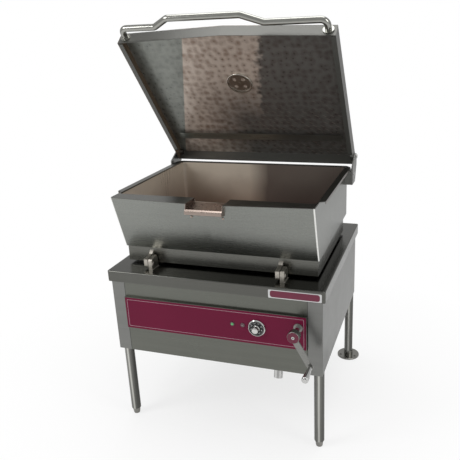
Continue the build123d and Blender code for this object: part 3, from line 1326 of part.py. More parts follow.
# Gear bracket: a folded plate on the right side panel with the shaft bearings
gear_wall_x = CRANK_X - gear_back - LUG_CHEEK - BRACKET_PLATE
gear_wall_y = JACK_Y - gear_back - LUG_CHEEK
gear_bracket = tray(
    gear_wall_x,
    BODY_HALF - SHEET,
    gear_wall_y,
    JACK_Y + gear_back,
    CRANK_Z - CRANK_HUB_RADIUS - 14,
    CRANK_Z + CRANK_HUB_RADIUS + 14,
    BRACKET_PLATE,
    "+Y",
)
gear_bracket -= block(
    gear_wall_x + BRACKET_PLATE,
    BODY_HALF - SHEET - BRACKET_PLATE,
    gear_wall_y + BRACKET_PLATE,
    JACK_Y + gear_back,
    CRANK_Z,
    CRANK_Z + CRANK_HUB_RADIUS + 14,
)
cross_bush_radius = CROSS_SHAFT_RADIUS + RUNNING + BUSH_WALL
gear_bracket -= bar("Y", crank_bush_radius, gear_wall_y, gear_wall_y + BRACKET_PLATE, x=CRANK_X, z=CRANK_Z)
gear_bracket -= bar("X", cross_bush_radius, gear_wall_x, gear_wall_x + BRACKET_PLATE, y=JACK_Y, z=CRANK_Z)
place("gear_bracket", gear_bracket)
crank_bore = CRANK_SHAFT_RADIUS + RUNNING
front_bush = flanged_bush(
    "Y",
    crank_bore,
    BUSH_WALL,
    FASCIA_FRONT,
    CONTROL_FRONT + THIN_SHEET + 6,
    FASCIA_FRONT - BUSH_FLANGE_THICK,
    x=CRANK_X,
    z=CRANK_Z,
)
rear_bush = flanged_bush(
    "Y",
    crank_bore,
    BUSH_WALL,
    gear_wall_y,
    gear_wall_y + BRACKET_PLATE,
    gear_wall_y - BUSH_FLANGE_THICK,
    x=CRANK_X,
    z=CRANK_Z,
)
cross_bush = flanged_bush(
    "X",
    CROSS_SHAFT_RADIUS + RUNNING,
    BUSH_WALL,
    gear_wall_x,
    gear_wall_x + BRACKET_PLATE,
    gear_wall_x + BRACKET_PLATE + BUSH_FLANGE_THICK,
    y=JACK_Y,
    z=CRANK_Z,
)
place("shaft_bushes", front_bush, rear_bush, cross_bush)

# Cross shaft: it carries one bevel gear from the crank and one that drives the jack's nut
jack_apex = (JACK_X, JACK_Y, CRANK_Z)
cross_shaft = bar("X", CROSS_SHAFT_RADIUS, JACK_X + gear_toe + 1, CRANK_X - gear_toe - 1, y=JACK_Y, z=CRANK_Z)
rod_direction = (0, math.sin(math.radians(JACK_LEAN)), math.cos(math.radians(JACK_LEAN)))
down_rod = tuple(-value for value in rod_direction)
place(
    "cross_shaft",
    cross_shaft,
    bevel_gear(crank_gear_apex, (-1, 0, 0), (0, -1, 0), 0.5, CROSS_SHAFT_RADIUS),
    bevel_gear(jack_apex, (1, 0, 0), down_rod, 0, CROSS_SHAFT_RADIUS),
)

# Jack bracket: a hanger under the deck whose cheeks carry the jack's trunnions
trunnion_inner = YOKE_HALF_WIDTH + 4
trunnion_outer = trunnion_inner + BRACKET_PLATE
bracket_front = JACK_Y - YOKE_HALF_DEPTH - 24
bracket_rear = PAN_LUG_Y + 4 * SLOT_MARGIN
jack_bracket = block(
    JACK_X - trunnion_outer,
    JACK_X + trunnion_outer,
    bracket_front,
    bracket_rear,
    DECK_UNDER - BRACKET_PLATE,
    DECK_UNDER,
)
for x0 in (JACK_X - trunnion_outer, JACK_X + trunnion_inner):
    jack_bracket += block(
        x0,
        x0 + BRACKET_PLATE,
        JACK_Y - YOKE_HALF_DEPTH,
        JACK_Y + YOKE_HALF_DEPTH,
        CRANK_Z - TRUNNION_RADIUS - 12,
        DECK_UNDER - BRACKET_PLATE,
    )
jack_bracket -= deck_slot
jack_bracket -= bar(
    "X", TRUNNION_RADIUS + RUNNING, JACK_X - trunnion_outer, JACK_X + trunnion_outer, y=JACK_Y, z=CRANK_Z
)
place("jack_bracket", jack_bracket)

# Jack yoke: it swings on the cross shaft's line and holds the turning nut
yoke = block(
    -YOKE_HALF_WIDTH, YOKE_HALF_WIDTH, -YOKE_HALF_DEPTH, YOKE_HALF_DEPTH, YOKE_BOTTOM, YOKE_TOP
)
yoke -= block(
    -YOKE_HALF_WIDTH + YOKE_WALL,
    YOKE_HALF_WIDTH - YOKE_WALL,
    -YOKE_HALF_DEPTH,
    YOKE_HALF_DEPTH,
    YOKE_BOTTOM + YOKE_WALL,
    YOKE_TOP - YOKE_WALL,
)
yoke += bar("X", TRUNNION_RADIUS, YOKE_HALF_WIDTH, trunnion_outer)
yoke += bar("X", TRUNNION_RADIUS, -trunnion_outer, -YOKE_HALF_WIDTH)
yoke -= bar("X", CROSS_SHAFT_RADIUS + RUNNING, 0, trunnion_outer)
yoke -= bar("Z", JACK_SCREW_RADIUS + 1, 0, YOKE_TOP)
yoke -= bar("Z", NUT_RADIUS + RUNNING, YOKE_BOTTOM, YOKE_BOTTOM + YOKE_WALL)
place("jack_yoke", JACK_FRAME * yoke)

tube_outer = bar("Z", JACK_TUBE_RADIUS, JACK_TUBE_END, YOKE_BOTTOM)
tube_outer += bar("Z", YOKE_HALF_DEPTH - 2, YOKE_BOTTOM - 4, YOKE_BOTTOM)
tube_bore = JACK_TUBE_RADIUS - SHEET
jack_tube = tube_outer - bar("Z", tube_bore, JACK_TUBE_END + 3, YOKE_BOTTOM)
place("jack_tube", JACK_FRAME * jack_tube)

nut_bore = JACK_SCREW_RADIUS + RUNNING
nut_top = -gear_back
collar_bottom = YOKE_BOTTOM + YOKE_WALL + FREE
nut = bar("Z", NUT_RADIUS, YOKE_BOTTOM + FREE, nut_top)
nut += bar("Z", NUT_COLLAR_RADIUS, collar_bottom, collar_bottom + 8)
nut -= bar("Z", nut_bore, YOKE_BOTTOM, nut_top)
nut_gear = bevel_gear(jack_apex, down_rod, (1, 0, 0), 0.5, nut_bore)
place("jack_nut_gear", JACK_FRAME * nut + nut_gear)

# Jack screw and its eye: the eye's slanted oval takes up the lug pin's path
place("jack_screw", JACK_FRAME * bar("Z", JACK_SCREW_RADIUS, JACK_SCREW_BOTTOM, JACK_SCREW_TOP))


def pin_in_jack(tilt):
    """Where the lug pin lies from the jack's pivot when the pan is tilted: distance and lean."""
    arm_y = PAN_LUG_Y - TILT_Y
    arm_z = PAN_LUG_Z - TILT_Z
    turn = math.radians(tilt)
    pin_y = TILT_Y + arm_y * math.cos(turn) - arm_z * math.sin(turn) - JACK_Y
    pin_z = TILT_Z + arm_y * math.sin(turn) + arm_z * math.cos(turn) - CRANK_Z
    return math.hypot(pin_y, pin_z), math.degrees(math.atan2(pin_y, pin_z))


end_length, end_lean = pin_in_jack(TILT_RANGE)
STROKE = end_length - JACK_LENGTH
SWING = JACK_LEAN - end_lean
middle_length, middle_lean = pin_in_jack(TILT_RANGE / 2)
lean_error = math.radians(middle_lean - JACK_LEAN + SWING / 2)
drift_across = middle_length * math.sin(lean_error)
drift_along = middle_length * math.cos(lean_error) - JACK_LENGTH - STROKE / 2
drift = math.hypot(drift_across, drift_along)
drift_angle = math.degrees(math.atan2(drift_along, drift_across))
eye_hole = LUG_PIN_RADIUS + EYE_PLAY
eye_radius = eye_hole + EYE_WALL


def oval(radius, thickness):
    """A round-ended plate along the pin's drift, centred on the jack's rod line in X."""
    ends = bar("X", radius, -thickness / 2, thickness / 2)
    far = bar("X", radius, -thickness / 2, thickness / 2, y=drift)
    shape = ends + far + block(-thickness / 2, thickness / 2, 0, drift, -radius, radius)
    return Pos(0, 0, JACK_LENGTH) * Rot(drift_angle, 0, 0) * shape


rod_eye = bar("Z", EYE_SHANK_RADIUS, EYE_SHANK_BOTTOM, JACK_SCREW_TOP + 4)
rod_eye += block(-eye_half, eye_half, -10, 10, JACK_SCREW_TOP, JACK_LENGTH)
rod_eye += oval(eye_radius, EYE_THICK)
rod_eye -= oval(eye_hole, 2 * EYE_THICK)
rod_eye -= bar("Z", JACK_SCREW_RADIUS, EYE_SHANK_BOTTOM, JACK_SCREW_TOP)
place("jack_rod_eye", JACK_FRAME * rod_eye)

print("mid-depth", round(FRAME_Y, 3), "jack lean", round(JACK_LEAN, 4), "stroke", round(STROKE, 4))
print("swing", round(SWING, 4), "drift", round(drift_across, 2), round(drift_along, 2))
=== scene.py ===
import math

import bmesh
import bpy
from mathutils import Matrix, Vector


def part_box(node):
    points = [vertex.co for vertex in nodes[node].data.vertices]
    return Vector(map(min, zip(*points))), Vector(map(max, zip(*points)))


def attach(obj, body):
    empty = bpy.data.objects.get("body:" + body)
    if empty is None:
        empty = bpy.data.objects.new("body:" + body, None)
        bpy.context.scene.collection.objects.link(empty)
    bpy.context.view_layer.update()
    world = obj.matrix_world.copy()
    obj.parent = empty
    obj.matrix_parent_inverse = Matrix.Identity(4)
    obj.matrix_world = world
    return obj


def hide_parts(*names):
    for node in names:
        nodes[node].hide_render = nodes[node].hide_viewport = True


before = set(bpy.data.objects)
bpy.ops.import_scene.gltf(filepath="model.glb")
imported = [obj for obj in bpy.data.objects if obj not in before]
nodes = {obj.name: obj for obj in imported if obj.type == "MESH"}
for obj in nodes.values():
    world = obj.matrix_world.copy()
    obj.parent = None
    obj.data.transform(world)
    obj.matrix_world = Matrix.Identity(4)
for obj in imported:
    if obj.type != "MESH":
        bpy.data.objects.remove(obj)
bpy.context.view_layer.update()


# Legs: four stainless tubes, each pushed on to a socket that is bolted inside a corner of the
# cabinet. Drawn tube, ground round and round, so that its fine marks are rings.


def plug(tree, socket, value):
    """Give a socket a link or a plain value."""
    if isinstance(value, Value):
        tree.links.new(value.socket, socket)
    else:
        socket.default_value = value


class Value:
    """The output of a node. Sums written with it add their Math nodes."""

    def __init__(self, tree, socket):
        self.tree = tree
        self.socket = socket

    def math(self, operation, *others, first=None):
        """Add a Math node to this value. A first term, if given, goes before it."""
        node = self.tree.nodes.new("ShaderNodeMath")
        node.operation = operation
        terms = (self, *others) if first is None else (first, self)
        for socket, term in zip(node.inputs, terms):
            plug(self.tree, socket, term)
        return Value(self.tree, node.outputs[0])

    def output(self, name):
        return Value(self.tree, self.socket.node.outputs[name])

    def __add__(self, other):
        return self.math("ADD", other)

    __radd__ = __add__

    def __mul__(self, other):
        return self.math("MULTIPLY", other)

    __rmul__ = __mul__

    def __sub__(self, other):
        return self.math("SUBTRACT", other)

    def __rsub__(self, other):
        return self.math("SUBTRACT", first=other)

    def __truediv__(self, other):
        return self.math("DIVIDE", other)

    def above(self, edge, soft):
        """0 below the edge and 1 above it, with a soft step between."""
        return ((self - edge) / soft + 0.5).clamped()

    def within(self, half, soft):
        """1 within half a width of zero and 0 outside it, with soft steps between."""
        return 1 - self.math("ABSOLUTE").above(half, soft)

    def swing(self, amount):
        """Noise from 0 to 1 turned into a swing to both sides of zero."""
        return (self - 0.5) * amount

    def clamped(self):
        return self.math("MINIMUM", 1.0).math("MAXIMUM", 0.0)


class Tree:
    """A node tree that grows one call at a time."""

    def __init__(self, tree):
        self.tree = tree

    def node(self, kind, settings=None, sockets=None, out=0):
        """Add a node: its settings first, then its sockets' values or links."""
        made = self.tree.nodes.new(kind)
        for key, setting in (settings or {}).items():
            setattr(made, key, setting)
        for key, value in (sockets or {}).items():
            plug(self.tree, made.inputs[key], value)
        return Value(self.tree, made.outputs[out])


class Finish(Tree):
    """A material: how one surface of the pan looks."""

    def __init__(self, name, **uniform):
        self.material = bpy.data.materials.new(name)
        self.material.use_nodes = True
        super().__init__(self.material.node_tree)
        self.shader = self.tree.nodes["Principled BSDF"]
        self.place = self.node("ShaderNodeTexCoord", out="Object")
        for socket, value in uniform.items():
            self.shader.inputs[socket.replace("_", " ")].default_value = value

    def noise(self, scale, detail=2.0):
        """Noise from 0 to 1. Its scale, in marks to a metre, is one number or one for each axis."""
        scale = scale if isinstance(scale, tuple) else (scale, scale, scale)
        moved = self.node("ShaderNodeMapping", sockets={"Vector": self.place, "Scale": scale})
        sockets = {"Vector": moved, "Scale": 1.0, "Detail": detail}
        return self.node("ShaderNodeTexNoise", sockets=sockets)

    def axes(self, place=None):
        """The X, Y and Z of a place, the surface point's own if none is given."""
        parts = self.node("ShaderNodeSeparateXYZ", sockets={0: place or self.place})
        return parts.output("X"), parts.output("Y"), parts.output("Z")

    def mix(self, share, start, end):
        """A colour between two colours."""
        start, end = (c if isinstance(c, Value) else (*c, 1.0) for c in (start, end))
        sockets = {0: share, 6: start, 7: end}
        return self.node("ShaderNodeMix", {"data_type": "RGBA"}, sockets, out=2)

    def bump(self, height, depth):
        """A relief whose height, from 0 to 1, stands for a depth in metres."""
        sockets = {"Height": height, "Distance": depth, "Strength": 1.0}
        return self.node("ShaderNodeBump", sockets=sockets)

    def paint(self, **sockets):
        """Link what varies over the surface to the shader."""
        for socket, value in sockets.items():
            plug(self.tree, self.shader.inputs[socket.replace("_", " ")], value)
        return self.material


def tinted(colour, factor):
    return tuple(min(1.0, part * factor) for part in colour)


def grain_noise(finish, grain):
    """The fine marks of a grinding belt and the broad bands that they gather into."""
    return finish.noise(grain, 3.0), finish.noise(tuple(part / 9 for part in grain), 2.0)


def ground_steel(name, colour, grain, roughness, contrast=0.16, depth=0.00010, cloud=0.12):
    """Stainless steel ground with a belt: grain is how many marks to a metre along X, Y and Z."""
    finish = Finish(name, Metallic=1.0)
    fine, bands = grain_noise(finish, grain)
    clouds = finish.noise(2.6, 3.0)
    handled = finish.noise(17.0, 4.0)
    marks = fine.swing(contrast) + bands.swing(contrast) + clouds.swing(2 * cloud)
    base = finish.mix(marks * 2 + 0.5, tinted(colour, 0.78), tinted(colour, 1.22))
    rough = fine.swing(0.12) + clouds.swing(0.10) + handled.swing(0.07) + roughness
    relief = finish.bump(fine * 0.6 + bands * 0.4, depth)
    return finish.paint(Base_Color=base, Roughness=rough, Normal=relief)


def dress(finish, *names):
    """Give CAD nodes their finish."""
    for name in names:
        for slot in nodes[name].material_slots:
            slot.material = finish


LEG_GREY = (0.20, 0.20, 0.187)
RINGS = (30.0, 30.0, 900.0)
LEG_X = 0.424
HIGHLIGHT_X = 0.002
HIGHLIGHT_HALF = 0.0035
HIGHLIGHT_DRIFT = 0.003
SHADED_SIDE_X = 0.012


def leg_tube():
    """Ground rings, with a painted highlight up the tube and painted shade down its right side."""
    finish = Finish("leg_tube", Metallic=1.0)
    across, _, _ = finish.axes()
    local = across - across.math("SIGN") * LEG_X
    rings = finish.noise(RINGS, 3.0)
    patches = finish.noise((30.0, 30.0, 6.0), 3.0)
    # Painted highlight: a lighter stripe up each tube.
    painted_highlight = (local - HIGHLIGHT_X + patches.swing(HIGHLIGHT_DRIFT)).within(HIGHLIGHT_HALF, 0.005)
    # Painted shade: the right side of each tube is darker.
    dull = local.above(SHADED_SIDE_X, 0.010)
    base = finish.mix(patches, tinted(LEG_GREY, 0.8), tinted(LEG_GREY, 1.15))
    base = finish.mix(dull * 0.6, base, tinted(LEG_GREY, 0.3))
    base = finish.mix(painted_highlight * 0.75, base, tinted(LEG_GREY, 3.4))
    rough = rings.swing(0.10) + patches.swing(0.1) + 0.22
    return finish.paint(Base_Color=base, Roughness=rough, Normal=finish.bump(rings, 0.00006))


dress(leg_tube(), "legs")


# Feet: the front pair are bullet feet that screw up and down inside the legs, the rear pair
# have round plates that are bolted to the floor. Turned from stainless bar and left bright.


def bright_metal(name, colour, roughness, marks=500.0, depth=0.00003, dull=0.10):
    """Turned or polished metal with faint tool marks, finger marks and duller patches."""
    finish = Finish(name, Metallic=1.0)
    tool = finish.noise(marks, 2.0)
    patches = finish.noise(38.0, 4.0)
    base = finish.mix(patches * 0.6 + tool * 0.4, tinted(colour, 0.88), tinted(colour, 1.12))
    rough = patches.swing(dull) + tool.swing(0.06) + roughness
    return finish.paint(Base_Color=base, Roughness=rough, Normal=finish.bump(tool, depth))


FOOT_GREY = (0.30, 0.295, 0.275)
foot_finish = bright_metal("turned_foot", FOOT_GREY, 0.24, marks=RINGS)
dress(foot_finish, "left_front_foot", "right_front_foot", "flanged_feet")


# Cabinet: folded side panels whose returns make the corner posts, with channel rails across
# the front and a floor tray. Brushed stainless sheet, with the grain lying level all round.

SHEET_GREY = (0.145, 0.149, 0.132)
# The side panels are the front's steel painted lighter, as painted light on the sides.
SIDE_LIT_GREY = (0.205, 0.207, 0.198)
LEVEL_GRAIN = (7.0, 7.0, 620.0)
front_finish = ground_steel("front_sheet", SHEET_GREY, LEVEL_GRAIN, 0.30)
dress(ground_steel("side_sheet", SIDE_LIT_GREY, LEVEL_GRAIN, 0.34), "side_panels")
dress(front_finish, "front_rails", "bottom_pan")


# Back panel: a flat sheet screwed over the rear posts, pressed out into rows of vent hoods
# above its slots. Mill-finished stainless, duller than the sides, with zinc-plated screws.

BACK_GREY = (0.40, 0.40, 0.39)
UPRIGHT_GRAIN = (620.0, 620.0, 7.0)
back_finish = ground_steel("back_sheet", BACK_GREY, UPRIGHT_GRAIN, 0.42, contrast=0.10)
dress(back_finish, "back_panel")
dress(bright_metal("zinc_screws", (0.46, 0.46, 0.47), 0.34), "back_panel_screws")

HOOD_COLUMNS = 6
HOOD_ROWS = 3
HOOD_LENGTH = 0.086
HOOD_HEIGHT = 0.0125
HOOD_DEPTH = 0.0065
HOOD_SHEET = 0.001
HOOD_DROP = 0.028
HOOD_SUNK = 0.0002
HOOD_STATIONS = 15
HOOD_STEPS = 6
HOOD_END_HEIGHT = 0.02
HOOD_END_POWER = 5
TOP_HOOD_Z = 0.610
back_low, back_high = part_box("back_panel")


class Jig(Tree):
    """A Geometry Nodes tree that repeats a piece: its sizes are the group's named inputs."""

    def __init__(self, name, **sizes):
        super().__init__(bpy.data.node_groups.new(name, "GeometryNodeTree"))
        face = self.tree.interface
        face.new_socket("Geometry", in_out="INPUT", socket_type="NodeSocketGeometry")
        for size, value in sizes.items():
            kind = "NodeSocketInt" if isinstance(value, int) else "NodeSocketFloat"
            face.new_socket(size, in_out="INPUT", socket_type=kind)
        face.new_socket("Geometry", in_out="OUTPUT", socket_type="NodeSocketGeometry")
        self.sizes = sizes
        self.source = self.node("NodeGroupInput")

    def size(self, name):
        return self.source.output(name)

    def close(self, instances, finish):
        """End the tree: real meshes with their material."""
        real = self.node("GeometryNodeRealizeInstances", sockets={0: instances})
        done = self.node("GeometryNodeSetMaterial", sockets={"Geometry": real, "Material": finish})
        drain = self.tree.nodes.new("NodeGroupOutput")
        plug(self.tree, drain.inputs[0], done)

    def run(self, name, mesh):
        """Run the tree on a mesh and return the result as a plain mesh object."""
        holder = placed(name + "_pattern", mesh)
        modifier = holder.modifiers.new("jig", "NODES")
        modifier.node_group = self.tree
        for item in self.tree.interface.items_tree:
            if item.in_out == "INPUT" and item.name in self.sizes:
                modifier[item.identifier] = self.sizes[item.name]
        graph = bpy.context.evaluated_depsgraph_get()
        made = bpy.data.meshes.new_from_object(holder.evaluated_get(graph), depsgraph=graph)
        bpy.data.objects.remove(holder)
        return placed(name, made)


def placed(name, mesh):
    """A new object at the origin that shows a mesh."""
    piece = bpy.data.objects.new(name, mesh)
    bpy.context.scene.collection.objects.link(piece)
    return piece


def mesh_of(name, work):
    """Close a bmesh: merge its doubles, face it outwards and make it a mesh."""
    bmesh.ops.remove_doubles(work, verts=work.verts, dist=1e-6)
    bmesh.ops.recalc_face_normals(work, faces=work.faces)
    made = bpy.data.meshes.new(name)
    work.to_mesh(made)
    work.free()
    return made


def shade_by_angle(mesh, degrees=35.0):
    """Smooth shading with sharp edges where the faces turn by more than an angle."""
    for polygon in mesh.polygons:
        polygon.use_smooth = True
    mesh.set_sharp_from_angle(angle=math.radians(degrees))


def finished(piece, body, slot, *replaced):
    """Shade a finished piece, tie it to its body and hide the CAD nodes it replaces. The slot is
    not used.
    """
    shade_by_angle(piece.data)
    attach(piece, body)
    if replaced:
        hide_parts(*replaced)


def vent_hood():
    """One pressed hood: a closed shell, open downwards, whose ends die into the sheet."""
    work = bmesh.new()
    for inset in (0.0, HOOD_SHEET):
        rows = []
        for station in range(HOOD_STATIONS):
            along = -1 + 2 * station / (HOOD_STATIONS - 1)
            fade = max(HOOD_END_HEIGHT, 1 - abs(along) ** HOOD_END_POWER) ** 0.5
            row = []
            for step in range(HOOD_STEPS + 1):
                turn = math.pi / 2 * step / HOOD_STEPS
                out = (HOOD_DEPTH - inset) * fade * math.sin(turn)
                up = (HOOD_HEIGHT - inset) * fade * math.cos(turn)
                row.append(work.verts.new((along * (HOOD_LENGTH / 2 - inset), out, up)))
            rows.append(row)
        for near, far in zip(rows, rows[1:]):
            for step in range(HOOD_STEPS):
                work.faces.new((near[step], near[step + 1], far[step + 1], far[step]))
    work.verts.ensure_lookup_table()
    edges = [edge for edge in work.edges if edge.is_boundary]
    bmesh.ops.bridge_loops(work, edges=edges)
    return mesh_of("vent_hood", work)


hoods = Jig(
    "hood_rows",
    Columns=HOOD_COLUMNS,
    Rows=HOOD_ROWS,
    Width=(back_high.x - back_low.x) * (HOOD_COLUMNS - 1) / (HOOD_COLUMNS + 1),
    Height=HOOD_DROP * (HOOD_ROWS - 1),
)
hood_grid = hoods.node(
    "GeometryNodeMeshGrid",
    sockets={
        "Size X": hoods.size("Width"),
        "Size Y": hoods.size("Height"),
        "Vertices X": hoods.size("Columns"),
        "Vertices Y": hoods.size("Rows"),
    },
)
hood_wall = hoods.node(
    "GeometryNodeTransform",
    sockets={
        "Geometry": hood_grid,
        "Translation": (
            (back_low.x + back_high.x) / 2,
            back_high.y - HOOD_SUNK,
            TOP_HOOD_Z - HOOD_DROP * (HOOD_ROWS - 1) / 2,
        ),
        "Rotation": (math.pi / 2, 0.0, 0.0),
    },
)
hoods.close(
    hoods.node(
        "GeometryNodeInstanceOnPoints",
        sockets={"Points": hood_wall, "Instance": hoods.source.output("Geometry")},
    ),
    back_finish,
)
finished(hoods.run("vent_hoods", vent_hood()), "cabinet", "brushed_steel")


# Supply inlet: a moulded bush that keeps the supply cable off the cut edge of the back panel.
# Black thermoplastic with a faintly pebbled mould texture.


def moulded(name, colour, roughness, pebble=900.0, depth=0.00006, coat=0.0):
    """Moulded plastic or rubber: pebbled, with slightly uneven colour and shine."""
    finish = Finish(name, Coat_Weight=coat, Coat_Roughness=0.12)
    pebbles = finish.noise(pebble, 2.0)
    patches = finish.noise(45.0, 3.0)
    base = finish.mix(patches, tinted(colour, 0.85), tinted(colour, 1.18))
    rough = patches.swing(0.14) + pebbles.swing(0.10) + roughness
    return finish.paint(Base_Color=base, Roughness=rough, Normal=finish.bump(pebbles, depth))


black_moulding = moulded("black_moulding", (0.018, 0.018, 0.020), 0.45)
dress(black_moulding, "supply_inlet_bush")


# Electrical parts on the floor tray: contactor, terminal block and high-limit control, and the
# thermostat's body behind the front. Moulded housings, the terminals in pale ceramic white.

dress(black_moulding, "contactor", "thermostat_body")
dress(moulded("pale_ceramic", (0.62, 0.61, 0.57), 0.5, pebble=1500.0), "terminal_block")
dress(moulded("brown_moulding", (0.10, 0.055, 0.035), 0.5), "high_limit_control")


# Gear bracket, jack bracket, yoke and the jack's lug under the pan: thick folded or welded
# plate, with a dull zinc plating that has gone cloudy.

PLATING = (0.40, 0.40, 0.39)
plated = ground_steel("plated_plate", PLATING, (60.0, 60.0, 60.0), 0.44, contrast=0.2, cloud=0.25)
dress(plated, "gear_bracket", "jack_bracket", "jack_yoke", "jack_lug")


# Crank drive: bevel gears on the crank shaft and the cross shaft, and the jack's turning nut,
# cut from steel and oiled. The bearing bushes are sintered bronze, but the one in the front
# panel has a plated flange.

FRONT_BUSH_END = -0.28
BRONZE = (0.43, 0.28, 0.12)
oiled = bright_metal("oiled_gear", (0.27, 0.265, 0.26), 0.30, marks=900.0)
dress(oiled, "cross_shaft", "jack_nut_gear", "jack_rod_eye")


def bush_metal():
    """Bronze with fine pores behind the front bush's end, and plated steel before it."""
    finish = Finish("bush_metal", Metallic=1.0)
    _, depth, _ = finish.axes()
    pores = finish.noise(1400.0, 2.0)
    metal = finish.mix(depth.above(FRONT_BUSH_END, 0.001), (0.30, 0.30, 0.29), BRONZE)
    base = finish.mix(pores * 0.4, metal, (0.10, 0.08, 0.06))
    relief = finish.bump(pores, 0.00003)
    return finish.paint(Base_Color=base, Roughness=pores * 0.2 + 0.30, Normal=relief)


dress(bush_metal(), "shaft_bushes")


# Jack screw and its cover tube: the rolled screw is greased steel, and the tube under the
# cabinet is chrome plated, with the long soft streaks that a drawn tube has.

CHROME = (0.56, 0.56, 0.55)
JACK_LEAN = math.radians(15.732)
THREAD_PITCH = 0.012
THREAD_DEPTH = 0.0012
dress(bright_metal("jack_chrome", CHROME, 0.12, marks=(240.0, 240.0, 8.0)), "jack_tube")


def rolled_screw():
    """The jack screw's steel: its thread is a fine helix round the rod's own axis."""
    finish = Finish("rolled_screw", Metallic=1.0)
    along = finish.node(
        "ShaderNodeVectorMath",
        {"operation": "DOT_PRODUCT"},
        {0: finish.place, 1: (0.0, math.sin(JACK_LEAN), math.cos(JACK_LEAN))},
        out="Value",
    )
    thread = (along * (2 * math.pi / THREAD_PITCH)).math("SINE")
    grease = finish.noise(60.0, 3.0)
    base = finish.mix(grease, (0.10, 0.09, 0.075), (0.30, 0.295, 0.28))
    rough = grease * 0.2 + 0.22
    return finish.paint(Base_Color=base, Roughness=rough, Normal=finish.bump(thread, THREAD_DEPTH))


dress(rolled_screw(), "jack_screw")


# Front panels: shallow folded trays between the posts, above and below the control panel.
# Brushed stainless with level grain, the same steel as the sides, which are painted a shade lighter
# as painted light.

dress(front_finish, "front_panels", "control_panel")


# Control fascia: a printed polyester film stuck over the whole control panel. It is deep
# wine red with a fine pale rule printed inside its edge, under a satin over-lacquer.

WINE = (0.130, 0.0055, 0.031)
RULE_INSET = 0.0085
RULE_WIDTH = 0.0013
RULE_THICK = 0.00008
RULE_CORNER = 0.003


def printed_film():
    """Film with a faint emboss and a satin lacquer."""
    finish = Finish("wine_film", Coat_Weight=0.05, Coat_Roughness=0.25, Specular_IOR_Level=0.12)
    emboss = finish.noise(1800.0, 2.0)
    drift = finish.noise(5.0, 3.0)
    base = finish.mix(drift, tinted(WINE, 0.88), tinted(WINE, 1.14))
    rough = drift.swing(0.12) + emboss.swing(0.08) + 0.42
    return finish.paint(Base_Color=base, Roughness=rough, Normal=finish.bump(emboss, 0.00003))


dress(printed_film(), "control_fascia")
pale_ink = moulded("pale_ink", (0.44, 0.30, 0.34), 0.5, pebble=2200.0, depth=0.00001)
film_low, film_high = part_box("control_fascia")


def rounded_outline(x0, x1, z0, z1, corner, steps=6):
    """The (x, z) points of a rectangle with rounded corners."""
    points = []
    for turn, (cx, cz) in enumerate(((x1, z1), (x0, z1), (x0, z0), (x1, z0))):
        cx += corner if cx == x0 else -corner
        cz += corner if cz == z0 else -corner
        for step in range(steps + 1):
            angle = math.pi / 2 * (turn + step / steps)
            points.append((cx + corner * math.cos(angle), cz + corner * math.sin(angle)))
    return points


def standing_plate(name, outline, hole, y_front, y_back):
    """A plate that stands facing the front, with an optional hole of as many points."""
    work = bmesh.new()
    loops = []
    for points in (outline, hole) if hole else (outline,):
        for y in (y_front, y_back):
            loops.append([work.verts.new((x, y, z)) for x, z in points])
    count = len(outline)
    for index in range(count):
        after = (index + 1) % count
        for near, far in ((0, 1), (2, 3)) if hole else ((0, 1),):
            a, b = loops[near], loops[far]
            work.faces.new((a[index], a[after], b[after], b[index]))
        if hole:
            for outer, inner in ((0, 2), (1, 3)):
                a, b = loops[outer], loops[inner]
                work.faces.new((a[index], a[after], b[after], b[index]))
    if not hole:
        work.faces.new(loops[0])
        work.faces.new(loops[1])
    return placed(name, mesh_of(name, work))


def inset_outline(inset, corner):
    """The fascia's outline, moved inwards."""
    return rounded_outline(
        film_low.x + inset, film_high.x - inset, film_low.z + inset, film_high.z - inset, corner
    )


rule = standing_plate(
    "fascia_rule",
    inset_outline(RULE_INSET, RULE_CORNER),
    inset_outline(RULE_INSET + RULE_WIDTH, RULE_CORNER - RULE_WIDTH),
    film_low.y - RULE_THICK,
    film_low.y + RULE_THICK,
)
rule.data.materials.append(pale_ink)
finished(rule, "cabinet", "fascia_film")


# Pilot lamps: two small round neons in chromed holders, a green lens and a clear-red one.
# The lenses are turned acrylic with a domed front that takes a small highlight.

LAMP_DIVIDE_X = 0.11
LENS_GREEN = (0.02, 0.42, 0.08)
LENS_RED = (0.10, 0.035, 0.045)
dress(bright_metal("lamp_ring", (0.14, 0.09, 0.10), 0.3), "lamp_holders")


def lamp_lenses():
    """Faceted acrylic, green in the left lamp and smoky red in the right one."""
    finish = Finish("lamp_acrylic", Coat_Weight=0.6, Coat_Roughness=0.05, IOR=1.49)
    across, _, _ = finish.axes()
    facets = finish.noise(1100.0, 1.0)
    colour = finish.mix(across.above(LAMP_DIVIDE_X, 0.001), LENS_GREEN, LENS_RED)
    base = finish.mix(facets * 0.4, colour, (0.30, 0.32, 0.30))
    relief = finish.bump(facets, 0.0001)
    return finish.paint(Base_Color=base, Roughness=facets * 0.1 + 0.14, Normal=relief)


dress(lamp_lenses(), "lamp_lenses")


# Thermostat: a chromed bezel round a black dial that turns with a fluted silver knob. The
# dial's ticks and plain numbers are hot-stamped in white foil.

dress(bright_metal("bezel_chrome", CHROME, 0.10), "thermostat_bezel")
dial_finish = moulded("dial_black", (0.009, 0.009, 0.010), 0.5)
dress(dial_finish, "thermostat_dial")
foil = moulded("white_foil", (0.70, 0.70, 0.68), 0.4, pebble=2500.0, depth=0.00001)

DIAL_TURN = 300.0
DIAL_TICKS = 31
DIAL_NUMBERS = ("0", "100", "150", "200", "250", "300", "350", "400")
TICK_RADIUS = 0.0277
TICK_LENGTH = 0.0032
TICK_WIDTH = 0.0006
NUMBER_RADIUS = 0.0212
NUMBER_HEIGHT = 0.0046
FOIL_THICK = 0.00012
dial_low, dial_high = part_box("thermostat_dial")
knob_low, knob_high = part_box("thermostat_knob")
dial_centre = Vector(((dial_low.x + dial_high.x) / 2, dial_low.y, (dial_low.z + dial_high.z) / 2))


